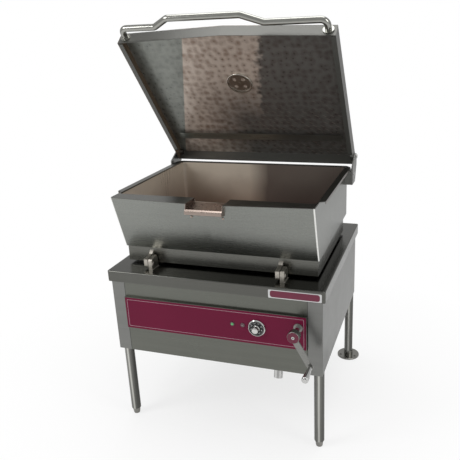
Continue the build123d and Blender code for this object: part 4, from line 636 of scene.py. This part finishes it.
def tick_mark():
    """One tick, standing up from its own middle."""
    work = bmesh.new()
    size = Matrix.Diagonal((TICK_WIDTH, FOIL_THICK, TICK_LENGTH, 1.0))
    bmesh.ops.create_cube(work, size=1.0, matrix=size)
    bmesh.ops.bevel(work, geom=work.edges[:], offset=FOIL_THICK / 4, segments=1, affect="EDGES")
    return mesh_of("tick_mark", work)


ticks = Jig("tick_ring", Ticks=DIAL_TICKS, Turn=math.radians(DIAL_TURN), Radius=TICK_RADIUS)
tick_index = ticks.node("GeometryNodeInputIndex")
tick_angle = tick_index * ticks.size("Turn") / (ticks.size("Ticks") - 1) - ticks.size("Turn") / 2
tick_spot = ticks.node(
    "ShaderNodeCombineXYZ",
    sockets={
        "X": tick_angle.math("SINE") * ticks.size("Radius") + dial_centre.x,
        "Y": dial_centre.y,
        "Z": tick_angle.math("COSINE") * ticks.size("Radius") + dial_centre.z,
    },
)
ticks.close(
    ticks.node(
        "GeometryNodeInstanceOnPoints",
        sockets={
            "Points": ticks.node(
                "GeometryNodePoints", sockets={"Count": ticks.size("Ticks"), "Position": tick_spot}
            ),
            "Instance": ticks.source.output("Geometry"),
            "Rotation": ticks.node("ShaderNodeCombineXYZ", sockets={"Y": tick_angle}),
        },
    ),
    foil,
)
finished(ticks.run("dial_ticks", tick_mark()), "thermostat_knob", "white_plastic")


def dial_numbers():
    """The numbers as one flat mesh, each turned to stand on its own radius."""
    work = bmesh.new()
    for index, digits in enumerate(DIAL_NUMBERS):
        angle = math.radians(DIAL_TURN * (index / (len(DIAL_NUMBERS) - 1) - 0.5))
        curve = bpy.data.curves.new("number", "FONT")
        curve.body = digits
        curve.size = NUMBER_HEIGHT
        curve.extrude = FOIL_THICK / 2
        curve.align_x = "CENTER"
        curve.align_y = "CENTER"
        holder = bpy.data.objects.new("number", curve)
        mesh = bpy.data.meshes.new_from_object(holder)
        spot = dial_centre + Vector((math.sin(angle), 0.0, math.cos(angle))) * NUMBER_RADIUS
        upright = Matrix.Rotation(math.pi / 2, 4, "X")
        mesh.transform(Matrix.Translation(spot) @ Matrix.Rotation(angle, 4, "Y") @ upright)
        work.from_mesh(mesh)
        bpy.data.objects.remove(holder)
    piece = placed("dial_numbers", mesh_of("dial_numbers", work))
    piece.data.materials.append(foil)
    return piece


finished(dial_numbers(), "thermostat_knob", "white_plastic")

KNOB_FLUTES = 28
KNOB_FLUTE_DEPTH = 0.0006
FLUTE_START = 0.003
FLUTE_END = 0.0155
knob_radius = (knob_high.x - knob_low.x) / 2
knob_profile = [
    (0.0, 0.0006),
    (0.45, 0.0),
    (0.80, 0.0004),
    (0.92, 0.0014),
    (1.0, 0.0036),
    (1.0, 0.0150),
    (0.90, 0.0165),
    (0.88, 0.0205),
    (1.0, 0.0215),
    (1.0, 0.0240),
    (0.0, 0.0240),
]


def turned_piece(name, centre, profile, axis_turn, around=96, flute=None):
    """A solid of revolution from (radius, distance) points, closed at both ends."""
    work = bmesh.new()
    rings = []
    for radius, distance in profile:
        if radius == 0:
            rings.append([work.verts.new((0.0, 0.0, distance))])
            continue
        ring = []
        for index in range(around):
            angle = 2 * math.pi * index / around
            reach = radius - (flute(distance, angle) if flute else 0.0)
            corner = (reach * math.cos(angle), reach * math.sin(angle), distance)
            ring.append(work.verts.new(corner))
        rings.append(ring)
    for near, far in zip(rings, rings[1:]):
        for index in range(around):
            after = (index + 1) % around
            corners = [near[index % len(near)], near[after % len(near)]]
            corners += [far[after % len(far)], far[index % len(far)]]
            work.faces.new(list(dict.fromkeys(corners)))
    bmesh.ops.transform(work, matrix=Matrix.Translation(centre) @ axis_turn, verts=work.verts)
    return placed(name, mesh_of(name, work))


def knob_flute(distance, angle):
    """The flutes run along the grip of the knob only."""
    if FLUTE_START < distance < FLUTE_END:
        return KNOB_FLUTE_DEPTH * (0.5 - 0.5 * math.cos(KNOB_FLUTES * angle))
    return 0.0


INWARD = Matrix.Rotation(-math.pi / 2, 4, "X")
knob = turned_piece(
    "fluted_knob",
    Vector((dial_centre.x, knob_low.y, dial_centre.z)),
    [(share * knob_radius, depth) for share, depth in knob_profile],
    INWARD,
    around=KNOB_FLUTES * 6,
    flute=knob_flute,
)
knob.data.materials.append(bright_metal("knob_silver", (0.60, 0.60, 0.58), 0.22))
finished(knob, "thermostat_knob", "bright_steel", "thermostat_knob")


# Name plate: a cast badge on the front flange of the deck, silver round its edge and with a
# wine-red enamel field. The field is bare.

FIELD_INSET = 0.0035
FIELD_CORNER = 0.009
FIELD_PROUD = 0.0004
badge_low, badge_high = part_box("name_plate")
dress(bright_metal("badge_silver", (0.60, 0.60, 0.60), 0.30), "name_plate")
field = standing_plate(
    "name_plate_field",
    rounded_outline(
        badge_low.x + FIELD_INSET * 2,
        badge_high.x - FIELD_INSET * 2,
        badge_low.z + FIELD_INSET,
        badge_high.z - FIELD_INSET,
        FIELD_CORNER,
    ),
    None,
    badge_low.y - FIELD_PROUD,
    badge_low.y + FIELD_PROUD,
)
field.data.materials.append(moulded("wine_enamel", WINE, 0.4, pebble=700.0, coat=0.08))
finished(field, "cabinet", "name_plate")


# Deck: one sheet folded down all round, with welded and dressed corners. It is polished more
# than the panels, so that it mirrors the hinge lugs and the front of the pan.

DECK_GREY = (0.115, 0.115, 0.105)
DECK_GRAIN = (6.0, 520.0, 520.0)
deck_finish = ground_steel("deck_sheet", DECK_GREY, DECK_GRAIN, 0.21, contrast=0.10, depth=0.00005)
dress(deck_finish, "deck")


# Pan hinge: pairs of machined steel lugs, welded to the deck and to the pan, on plain headed
# pins. The lugs are milled all over and bright; each weld is a ripple of overlapping drops.

LUG_STEEL = (0.50, 0.47, 0.42)
MILLING = (60.0, 900.0, 60.0)
lug_finish = bright_metal("milled_lug", LUG_STEEL, 0.38, marks=MILLING, depth=0.00005)
dress(lug_finish, "deck_hinge_lugs", "pan_hinge_lugs")
dress(bright_metal("hinge_pin", (0.30, 0.28, 0.25), 0.40), "tilt_hinge_pins")
weld_finish = bright_metal("weld_metal", (0.33, 0.31, 0.28), 0.34, dull=0.2)

WELD_DROP = 0.0028
WELD_SQUASH = (1.0, 0.75, 0.8)
WELD_PITCH = 0.0021
WELD_START_GAP = 0.004
WELD_END_GAP = 0.003
LUG_THICK = 0.017
lug_low, lug_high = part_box("deck_hinge_lugs")
deck_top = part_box("deck")[1].z


def weld_drop():
    """One drop of weld, a flattened ball."""
    work = bmesh.new()
    bmesh.ops.create_icosphere(work, subdivisions=2, radius=WELD_DROP)
    bmesh.ops.scale(work, vec=WELD_SQUASH, verts=work.verts)
    return mesh_of("weld_drop", work)


def weld_run(name, start, end):
    """A straight run of weld between two points on the deck."""
    jig = Jig(name + "_run", Pitch=WELD_PITCH)
    ends = {"Start": start, "End": end}
    line = jig.node("GeometryNodeCurvePrimitiveLine", {"mode": "POINTS"}, ends)
    spacing = {"Curve": line, "Length": jig.size("Pitch")}
    points = jig.node("GeometryNodeCurveToPoints", {"mode": "LENGTH"}, spacing)
    instances = jig.node(
        "GeometryNodeInstanceOnPoints",
        sockets={
            "Points": points,
            "Instance": jig.source.output("Geometry"),
            "Rotation": points.output("Rotation"),
        },
    )
    jig.close(instances, weld_finish)
    finished(jig.run(name, weld_drop()), "cabinet", "brushed_steel")


for side, weld_x in (("left", lug_low.x + LUG_THICK), ("right", lug_high.x)):
    weld_run(
        f"{side}_lug_weld",
        (weld_x, lug_low.y + WELD_START_GAP, deck_top),
        (weld_x, lug_high.y - WELD_END_GAP, deck_top),
    )


# Rest pads: two turned buffers near the back of the deck that the pan's heater box comes
# down on. Hard black rubber with a rounded top edge.

dress(moulded("buffer_rubber", (0.022, 0.022, 0.022), 0.62, depth=0.0001), "pan_rest_pads")


# Heater: a folded tray under the pan, with a mineral-wool mat, four sheathed hairpin elements
# clamped up against the aluminium cook plate, and the thermostat's copper bulb.

HEATER_GREY = (0.145, 0.145, 0.132)
dress(ground_steel("heater_sheet", HEATER_GREY, LEVEL_GRAIN, 0.26), "heater_box")
wool_finish = moulded("mineral_wool", (0.42, 0.38, 0.27), 0.9, pebble=320.0, depth=0.0012)
dress(wool_finish, "insulation_mat")
dress(bright_metal("element_sheath", (0.16, 0.13, 0.11), 0.45, dull=0.2), "heating_elements")
dress(plated, "element_clamps")
dress(ground_steel("rolled_aluminium", (0.55, 0.55, 0.55), (40.0, 8.0, 40.0), 0.38), "cook_plate")
dress(bright_metal("copper_bulb", (0.62, 0.27, 0.14), 0.3), "thermostat_bulb")


# Cooking pan: a deep-drawn stainless vessel with large inside bends. The inside is ground,
# beige, darker and browner low down near the plate, with painted shade on the right.

VESSEL_GREY = (0.62, 0.55, 0.46)
RIM_GREY = (0.16, 0.16, 0.147)
LOW_BROWN = (0.20, 0.115, 0.080)
SHADED = (0.075, 0.055, 0.049)
BROWN_TO_Z = 0.90
SHADED_FROM_X = -0.01
RIM_FROM_Z = 1.022


def toned_vessel():
    """Ground both ways inside, with cloudy tone, browner low down and painted shade on the right;
    the bent rim stays plain grey.
    """
    finish = Finish("vessel_steel")
    across, _, up = finish.axes()
    fine = finish.noise((300.0, 300.0, 9.0), 3.0)
    cross = finish.noise((9.0, 9.0, 420.0), 3.0)
    clouds = finish.noise(4.0, 4.0)
    # Darker and browner low down, near the plate.
    low_down = 1 - (up + clouds.swing(0.12)).above(BROWN_TO_Z, 0.16)
    # Painted shade: the right of the inside is darker.
    shaded = (across + clouds.swing(0.1)).above(SHADED_FROM_X, 0.09)
    inner = 1 - up.above(RIM_FROM_Z, 0.002)
    clean = finish.mix(clouds, tinted(VESSEL_GREY, 0.82), tinted(VESSEL_GREY, 1.2))
    warm = finish.mix(low_down * 0.75, clean, LOW_BROWN)
    with_painted_shade = finish.mix(shaded * 0.85, warm, SHADED)
    base = finish.mix(inner, RIM_GREY, with_painted_shade)
    rough = fine.swing(0.12) + clouds.swing(0.16) + 0.31
    relief = finish.bump(fine * 0.5 + cross * 0.5, 0.00008)
    metal = 1 - inner * 0.65
    return finish.paint(Base_Color=base, Metallic=metal, Roughness=rough, Normal=relief)


dress(toned_vessel(), "cooking_pan")


# Pan jacket: the folded outer skin, whose front leans out to the lip. Brushed level, with a
# painted highlight on each front bend and painted shade towards the foot of the slope.

JACKET_GREY = (0.235, 0.242, 0.225)
BEND_HIGHLIGHT = (0.78, 0.78, 0.75)
BEND_HIGHLIGHT_START = 0.4085
BEND_HIGHLIGHT_END = 0.4136
JACKET_SHADE_TO_Z = 0.865
ACROSS_GRAIN = (7.0, 560.0, 560.0)


def jacket_sheet():
    """Level grain, with painted shade towards the foot of the slope and painted highlights on the
    two front bends.
    """
    finish = Finish("jacket_sheet", Metallic=1.0)
    across, back, up = finish.axes()
    out = across.math("ABSOLUTE")
    fine, bands = grain_noise(finish, ACROSS_GRAIN)
    clouds = finish.noise(2.6, 3.0)
    marks = fine.swing(0.10) + bands.swing(0.12) + clouds.swing(0.30)
    sheet = finish.mix(marks * 2 + 0.5, tinted(JACKET_GREY, 0.78), tinted(JACKET_GREY, 1.22))
    # Painted shade: the slope is darker towards its foot.
    foot_shade = 1 - (up + clouds.swing(0.06)).above(JACKET_SHADE_TO_Z, 0.11)
    sheet = finish.mix(foot_shade * 0.35, sheet, tinted(JACKET_GREY, 0.45))
    # Painted highlight: the two front bends are bright.
    painted_bend_highlight = out.above(BEND_HIGHLIGHT_START, 0.002) * (1 - out.above(BEND_HIGHLIGHT_END, 0.0003))
    painted_bend_highlight = painted_bend_highlight * (1 - back.above(0.0, 0.1))
    base = finish.mix(painted_bend_highlight, sheet, BEND_HIGHLIGHT)
    rough = fine.swing(0.12) + clouds.swing(0.10) + 0.27
    relief = finish.bump(fine * 0.6 + bands * 0.4, 0.0001)
    return finish.paint(Base_Color=base, Roughness=rough, Normal=relief)


dress(jacket_sheet(), "pan_jacket")


# Pour spout: a short folded trough welded into the rim, its nose rolled over to a round edge,
# with a small domed screw below each end. Stainless, polished by hand after welding.

SPOUT_STEEL = (0.37, 0.30, 0.262)
dress(bright_metal("spout_steel", SPOUT_STEEL, 0.28, marks=(9.0, 500.0, 500.0)), "pour_spout")


# Lid hinge: cranked plate brackets bolted to the sides of the jacket, with domed bolts and
# headed pins, and bosses welded inside the lid.

bracket_finish = ground_steel("bracket_plate", (0.22, 0.22, 0.21), LEVEL_GRAIN, 0.30)
dress(bracket_finish, "lid_hinge_brackets", "lid_hinge_bosses")
dress(bright_metal("domed_bolts", (0.50, 0.50, 0.49), 0.22), "lid_hinge_bolts")


# Lid: a folded stainless tray, brushed outside. Its inner face is engine turned: overlapping
# round spots, each a set of fine rings left by a spinning abrasive bob. Its middle has a warm
# painted reflection, its right painted shade, and the spots by the hinge painted highlights as
# slanted dashes.

LID_OPEN = math.radians(50.1)
LID_SKIN = 0.0015
LID_TOP = 1.084
LID_HINGE = (0.0, 0.420, 1.066)
LID_GREY = (0.085, 0.085, 0.077)
LID_COOL = (0.27, 0.28, 0.255)
LID_WARM = (0.62, 0.53, 0.46)
LID_DIM = (0.165, 0.157, 0.146)
SPOT_COOL = (0.15, 0.158, 0.145)
SPOT_WARM = (0.23, 0.145, 0.105)
SPOT_DIM = (0.085, 0.068, 0.058)
SKIRT_BROWN = (0.20, 0.145, 0.10)
SPOT_PITCH = 0.031
SPOT_STRAY = 0.62
SPOT_RADIUS = 0.74
SPOT_RINGS = 4.0
DASH_PITCH = 0.034
DASH_ROW = 0.022
DASH_FROM_X = -0.06
WARM_LEAN = 0.329
WARM_FROM_X = -0.416
DIM_LEAN = 0.223
DIM_FROM_X = -0.024
LOW_DIM_FROM_X = -0.14
LOW_FROM_Y = -0.40


def engine_turned():
    """Both faces of the lid, worked out as if it were closed: X right, Y back from the hinge."""
    finish = Finish("lid_sheet", Metallic=0.5)
    settings = {"operation": "SUBTRACT"}
    from_hinge = finish.node("ShaderNodeVectorMath", settings, {0: finish.place, 1: LID_HINGE})
    turned = {"Vector": from_hinge, "Rotation": (LID_OPEN, 0.0, 0.0)}
    closed = finish.node("ShaderNodeMapping", sockets=turned)
    x, y, z = finish.axes(closed)
    inside = (z - (LID_TOP - LID_SKIN - LID_HINGE[2])).within(0.0004, 0.0002)
    left_skirt = (x - (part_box("lid_shell")[0].x + LID_SKIN)).within(0.0005, 0.0002)
    fine = finish.noise(260.0, 2.0)
    clouds = finish.noise(3.4, 4.0)
    blotches = finish.noise(36.0, 3.0)

    # Painted reflection: the warm middle, bounded by a slanting line on its left.
    warm = (x + y * WARM_LEAN - WARM_FROM_X).above(0.0, 0.004)
    # Painted shade: the dim right, and the dim part near the hinge.
    shade_zone = (x + y * DIM_LEAN + blotches.swing(0.09) - DIM_FROM_X).above(0.0, 0.03)
    low = 1 - (clouds * 0.10 - y).above(-LOW_FROM_Y, 0.24)
    shade_zone = shade_zone.math("MAXIMUM", low * (x + blotches.swing(0.1)).above(LOW_DIM_FROM_X, 0.20))
    field = finish.mix(warm, LID_COOL, finish.mix(shade_zone, LID_WARM, LID_DIM))

    spot_sockets = {"Vector": closed, "Scale": 1 / SPOT_PITCH, "Randomness": SPOT_STRAY}
    spot = finish.node("ShaderNodeTexVoronoi", {"voronoi_dimensions": "2D"}, spot_sockets)
    reach = spot / SPOT_RADIUS
    dark = (1 - reach.math("POWER", 1.7)).math("MAXIMUM", 0.0) * 0.85
    dark = (dark + blotches.swing(1.9) + clouds.swing(0.9) - 0.22).clamped() * 0.8
    # The spots take the colours of the same painted reflection and painted shade.
    spot_colour = finish.mix(warm, SPOT_COOL, finish.mix(shade_zone, SPOT_WARM, SPOT_DIM))
    spotted = finish.mix(dark, field, spot_colour)

    # Painted highlights: slanted bright dashes on the spots near the hinge.
    across = (x / DASH_PITCH - y / (DASH_ROW * 2)).math("FRACT") - 0.5
    along = (y / DASH_ROW).math("FRACT") - 0.5
    painted_glint = (across - along * 0.5).within(0.05, 0.06) * along.within(0.25, 0.12)
    painted_glint = painted_glint * (blotches * 3 - 0.9).clamped() * low * x.above(DASH_FROM_X, 0.22)
    spotted = finish.mix(painted_glint * 0.5, spotted, LID_WARM)

    plain = finish.mix(fine, tinted(LID_GREY, 0.95), tinted(LID_GREY, 1.25))
    plain = finish.mix(left_skirt * (1 - inside), plain, SKIRT_BROWN)
    base = finish.mix(inside, plain, spotted)
    rough = fine.swing(0.12) + clouds.swing(0.1) + inside * reach.swing(0.12) + 0.33
    ring = (reach * (2 * math.pi * SPOT_RINGS)).math("SINE")
    brushed = finish.noise(ACROSS_GRAIN, 2.0)
    height = inside * (ring * 0.12 + reach) + (1 - inside) * brushed * 0.3
    return finish.paint(Base_Color=base, Roughness=rough, Normal=finish.bump(height, 0.0007))


dress(engine_turned(), "lid_shell")
dress(ground_steel("channel_sheet", LID_COOL, ACROSS_GRAIN, 0.30), "drip_channel")


# Steam vent: a turned stainless ring under the lid's four holes, and inside it a cover disc
# with four more, which a knob on top of the lid turns. Steam has dulled the disc.

dress(bright_metal("vent_steel", (0.55, 0.54, 0.50), 0.2), "vent_ring")
dress(bright_metal("vent_cover_steel", (0.34, 0.30, 0.26), 0.34, dull=0.2), "vent_cover")


# Lid handle: a stainless tube bent up in the middle, with collars welded to the lid's front.
# Polished along its length.

TUBE_GREY = (0.33, 0.33, 0.305)
dress(bright_metal("handle_tube", TUBE_GREY, 0.17, marks=(12.0, 420.0, 420.0)), "lid_handle")


# Crank: a chromed shaft, a satin hub and flat arm in one, and a tapered chrome grip that spins
# on a pin. The hub's screw has a hexagon socket, in a disc of wine-red enamel.

crank_chrome = bright_metal("crank_chrome", CHROME, 0.09)
dress(crank_chrome, "crank_shaft", "crank_handle_pin")
HUB_SPOT = (0.354, -0.415, 0.562)
HUB_DISC = 0.0218
HUB_FACE = 0.0006


def crank_satin():
    """Satin steel, with a disc of wine-red enamel let into the hub's face."""
    finish = Finish("crank_satin")
    settings = {"operation": "SUBTRACT"}
    from_hub = finish.node("ShaderNodeVectorMath", settings, {0: finish.place, 1: HUB_SPOT})
    x, y, z = finish.axes(from_hub)
    reach = (x * x + z * z).math("SQRT")
    face = (1 - y.above(HUB_FACE, 0.0003)) * (1 - reach.above(HUB_DISC, 0.0006))
    fine = finish.noise((40.0, 40.0, 300.0), 3.0)
    patches = finish.noise(60.0, 3.0)
    steel = finish.mix(fine * 0.5 + patches * 0.5, (0.18, 0.18, 0.17), (0.30, 0.30, 0.285))
    base = finish.mix(face, steel, tinted(WINE, 0.9))
    rough = fine.swing(0.12) + patches.swing(0.1) + 0.28
    return finish.paint(
        Base_Color=base, Metallic=1 - face, Roughness=rough, Normal=finish.bump(fine, 0.00006)
    )


dress(crank_satin(), "crank_arm")
dress(bright_metal("socket_screw", (0.50, 0.50, 0.50), 0.2), "crank_hub_screw")

GRIP_BORE = 0.00505
GRIP_NECK = 0.0085
GRIP_NECK_ROUND = 0.001
GRIP_END_ROUND = 0.005
GRIP_END_STEPS = 6
GRIP_STATIONS = 22
grip_low, grip_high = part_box("crank_grip")
grip_radius = (grip_high.x - grip_low.x) / 2
grip_length = grip_high.y - grip_low.y


def grip_profile():
    """Thick and round at the outer end, tapering in one long curve to the neck."""
    points = [(GRIP_BORE, 0.0)]
    for step in range(GRIP_END_STEPS + 1):
        turn = math.pi / 2 * step / GRIP_END_STEPS
        radius = grip_radius - GRIP_END_ROUND * (1 - math.sin(turn))
        points.append((radius, GRIP_END_ROUND * (1 - math.cos(turn))))
    taper = grip_length - GRIP_END_ROUND - GRIP_NECK_ROUND
    for station in range(1, GRIP_STATIONS + 1):
        share = station / GRIP_STATIONS
        ease = share * share * (3 - 2 * share)
        radius = grip_radius + (GRIP_NECK - grip_radius) * ease
        points.append((radius, GRIP_END_ROUND + taper * share))
    points.append((GRIP_NECK - GRIP_NECK_ROUND, grip_length))
    return points + [(GRIP_BORE, grip_length), (GRIP_BORE, 0.0)]


grip = turned_piece(
    "tapered_grip",
    Vector(((grip_low.x + grip_high.x) / 2, grip_low.y, (grip_low.z + grip_high.z) / 2)),
    grip_profile(),
    INWARD,
    around=64,
)
grip.data.materials.append(crank_chrome)
finished(grip, "grip", "bright_steel", "crank_grip")


# Studio: a pale floor that runs back into a white background, three large soft lamps, and the
# camera where the photographer stood, a little above the rim on the right-hand side.

WHITE = (1.0, 1.0, 1.0, 1.0)
FLOOR_HALF = 14.0
FLOOR_NEAR = 0.9
FLOOR_FADE = 1.3
FLOOR_WHITE = 0.70
ROOM_LIGHT = 0.55
LAMP_AIM = Vector((0.0, 0.0, 0.7))


def floor_finish():
    """Pale floor that keeps the shadow near the pan and is plain white further off."""
    finish = Finish("studio_floor", Roughness=0.9)
    flecks = finish.noise(3.0, 3.0)
    finish.paint(Base_Color=finish.mix(flecks, (0.92, 0.92, 0.92), (0.95, 0.95, 0.95)))
    settings = {"operation": "LENGTH"}
    distance = finish.node("ShaderNodeVectorMath", settings, {0: finish.place}, out="Value")
    seen = finish.node("ShaderNodeLightPath", out="Is Camera Ray")
    share = distance.above(FLOOR_NEAR, FLOOR_FADE) * (1 - FLOOR_WHITE) + FLOOR_WHITE
    pale = Value(finish.tree, finish.shader.outputs[0])
    white = finish.node("ShaderNodeEmission", sockets={"Color": WHITE, "Strength": 1.0})
    blend = finish.node("ShaderNodeMixShader", sockets={0: seen * share, 1: pale, 2: white})
    plug(finish.tree, finish.tree.nodes["Material Output"].inputs["Surface"], blend)
    return finish.material


floor_work = bmesh.new()
bmesh.ops.create_grid(floor_work, x_segments=8, y_segments=8, size=FLOOR_HALF)
floor = placed("floor", mesh_of("floor", floor_work))
floor.data.materials.append(floor_finish())

world = bpy.data.worlds.new("studio")
bpy.context.scene.world = world
world.use_nodes = True
sky = Tree(world.node_tree)
sky_seen = sky.node("ShaderNodeLightPath", out="Is Camera Ray")
sky_level = sky_seen * (1.0 - ROOM_LIGHT) + ROOM_LIGHT
backdrop = world.node_tree.nodes["Background"]
backdrop.inputs["Color"].default_value = WHITE
plug(world.node_tree, backdrop.inputs["Strength"], sky_level)


def soft_lamp(name, spot, width, height, watts):
    """A large rectangular lamp that points at the middle of the pan."""
    lamp = bpy.data.lights.new(name, "AREA")
    lamp.shape = "RECTANGLE"
    lamp.size = width
    lamp.size_y = height
    lamp.energy = watts
    holder = bpy.data.objects.new(name, lamp)
    holder.location = spot
    aim = LAMP_AIM - Vector(spot)
    holder.rotation_mode = "QUATERNION"
    holder.rotation_quaternion = aim.to_track_quat("-Z", "Y")
    bpy.context.scene.collection.objects.link(holder)


soft_lamp("key_lamp", (-2.6, -2.4, 2.9), 1.6, 1.6, 60.0)
soft_lamp("fill_lamp", (3.2, -1.2, 2.2), 1.2, 2.0, 30.0)
soft_lamp("top_lamp", (0.0, 0.4, 3.6), 2.4, 1.6, 40.0)

CAMERA_SPOT = (0.833993, -2.222684, 1.625074)
CAMERA_AZIMUTH = 0.32969
CAMERA_ELEVATION = 0.32788
CAMERA_ROLL = -0.04048
PHOTO_SIDE = 460.0
FOCAL_PIXELS = 576.743
AXIS_PIXEL = (252.5465, 228.8837)
SENSOR = 36.0
camera_data = bpy.data.cameras.new("camera")
camera_data.sensor_width = SENSOR
camera_data.lens = FOCAL_PIXELS / PHOTO_SIDE * SENSOR
camera_data.shift_x = (PHOTO_SIDE / 2 - AXIS_PIXEL[0]) / PHOTO_SIDE
camera_data.shift_y = (AXIS_PIXEL[1] - PHOTO_SIDE / 2) / PHOTO_SIDE
camera = bpy.data.objects.new("camera", camera_data)
bpy.context.scene.collection.objects.link(camera)
back_away = Vector((
    math.sin(CAMERA_AZIMUTH) * math.cos(CAMERA_ELEVATION),
    -math.cos(CAMERA_AZIMUTH) * math.cos(CAMERA_ELEVATION),
    math.sin(CAMERA_ELEVATION),
))
level_right = Vector((math.cos(CAMERA_AZIMUTH), math.sin(CAMERA_AZIMUTH), 0.0))
level_up = back_away.cross(level_right)
right = level_right * math.cos(CAMERA_ROLL) + level_up * math.sin(CAMERA_ROLL)
up = level_up * math.cos(CAMERA_ROLL) - level_right * math.sin(CAMERA_ROLL)
turn = Matrix((right, up, back_away)).transposed().to_4x4()
camera.matrix_world = Matrix.Translation(CAMERA_SPOT) @ turn
bpy.context.scene.camera = camera

bpy.context.scene.view_settings.view_transform = "Standard"
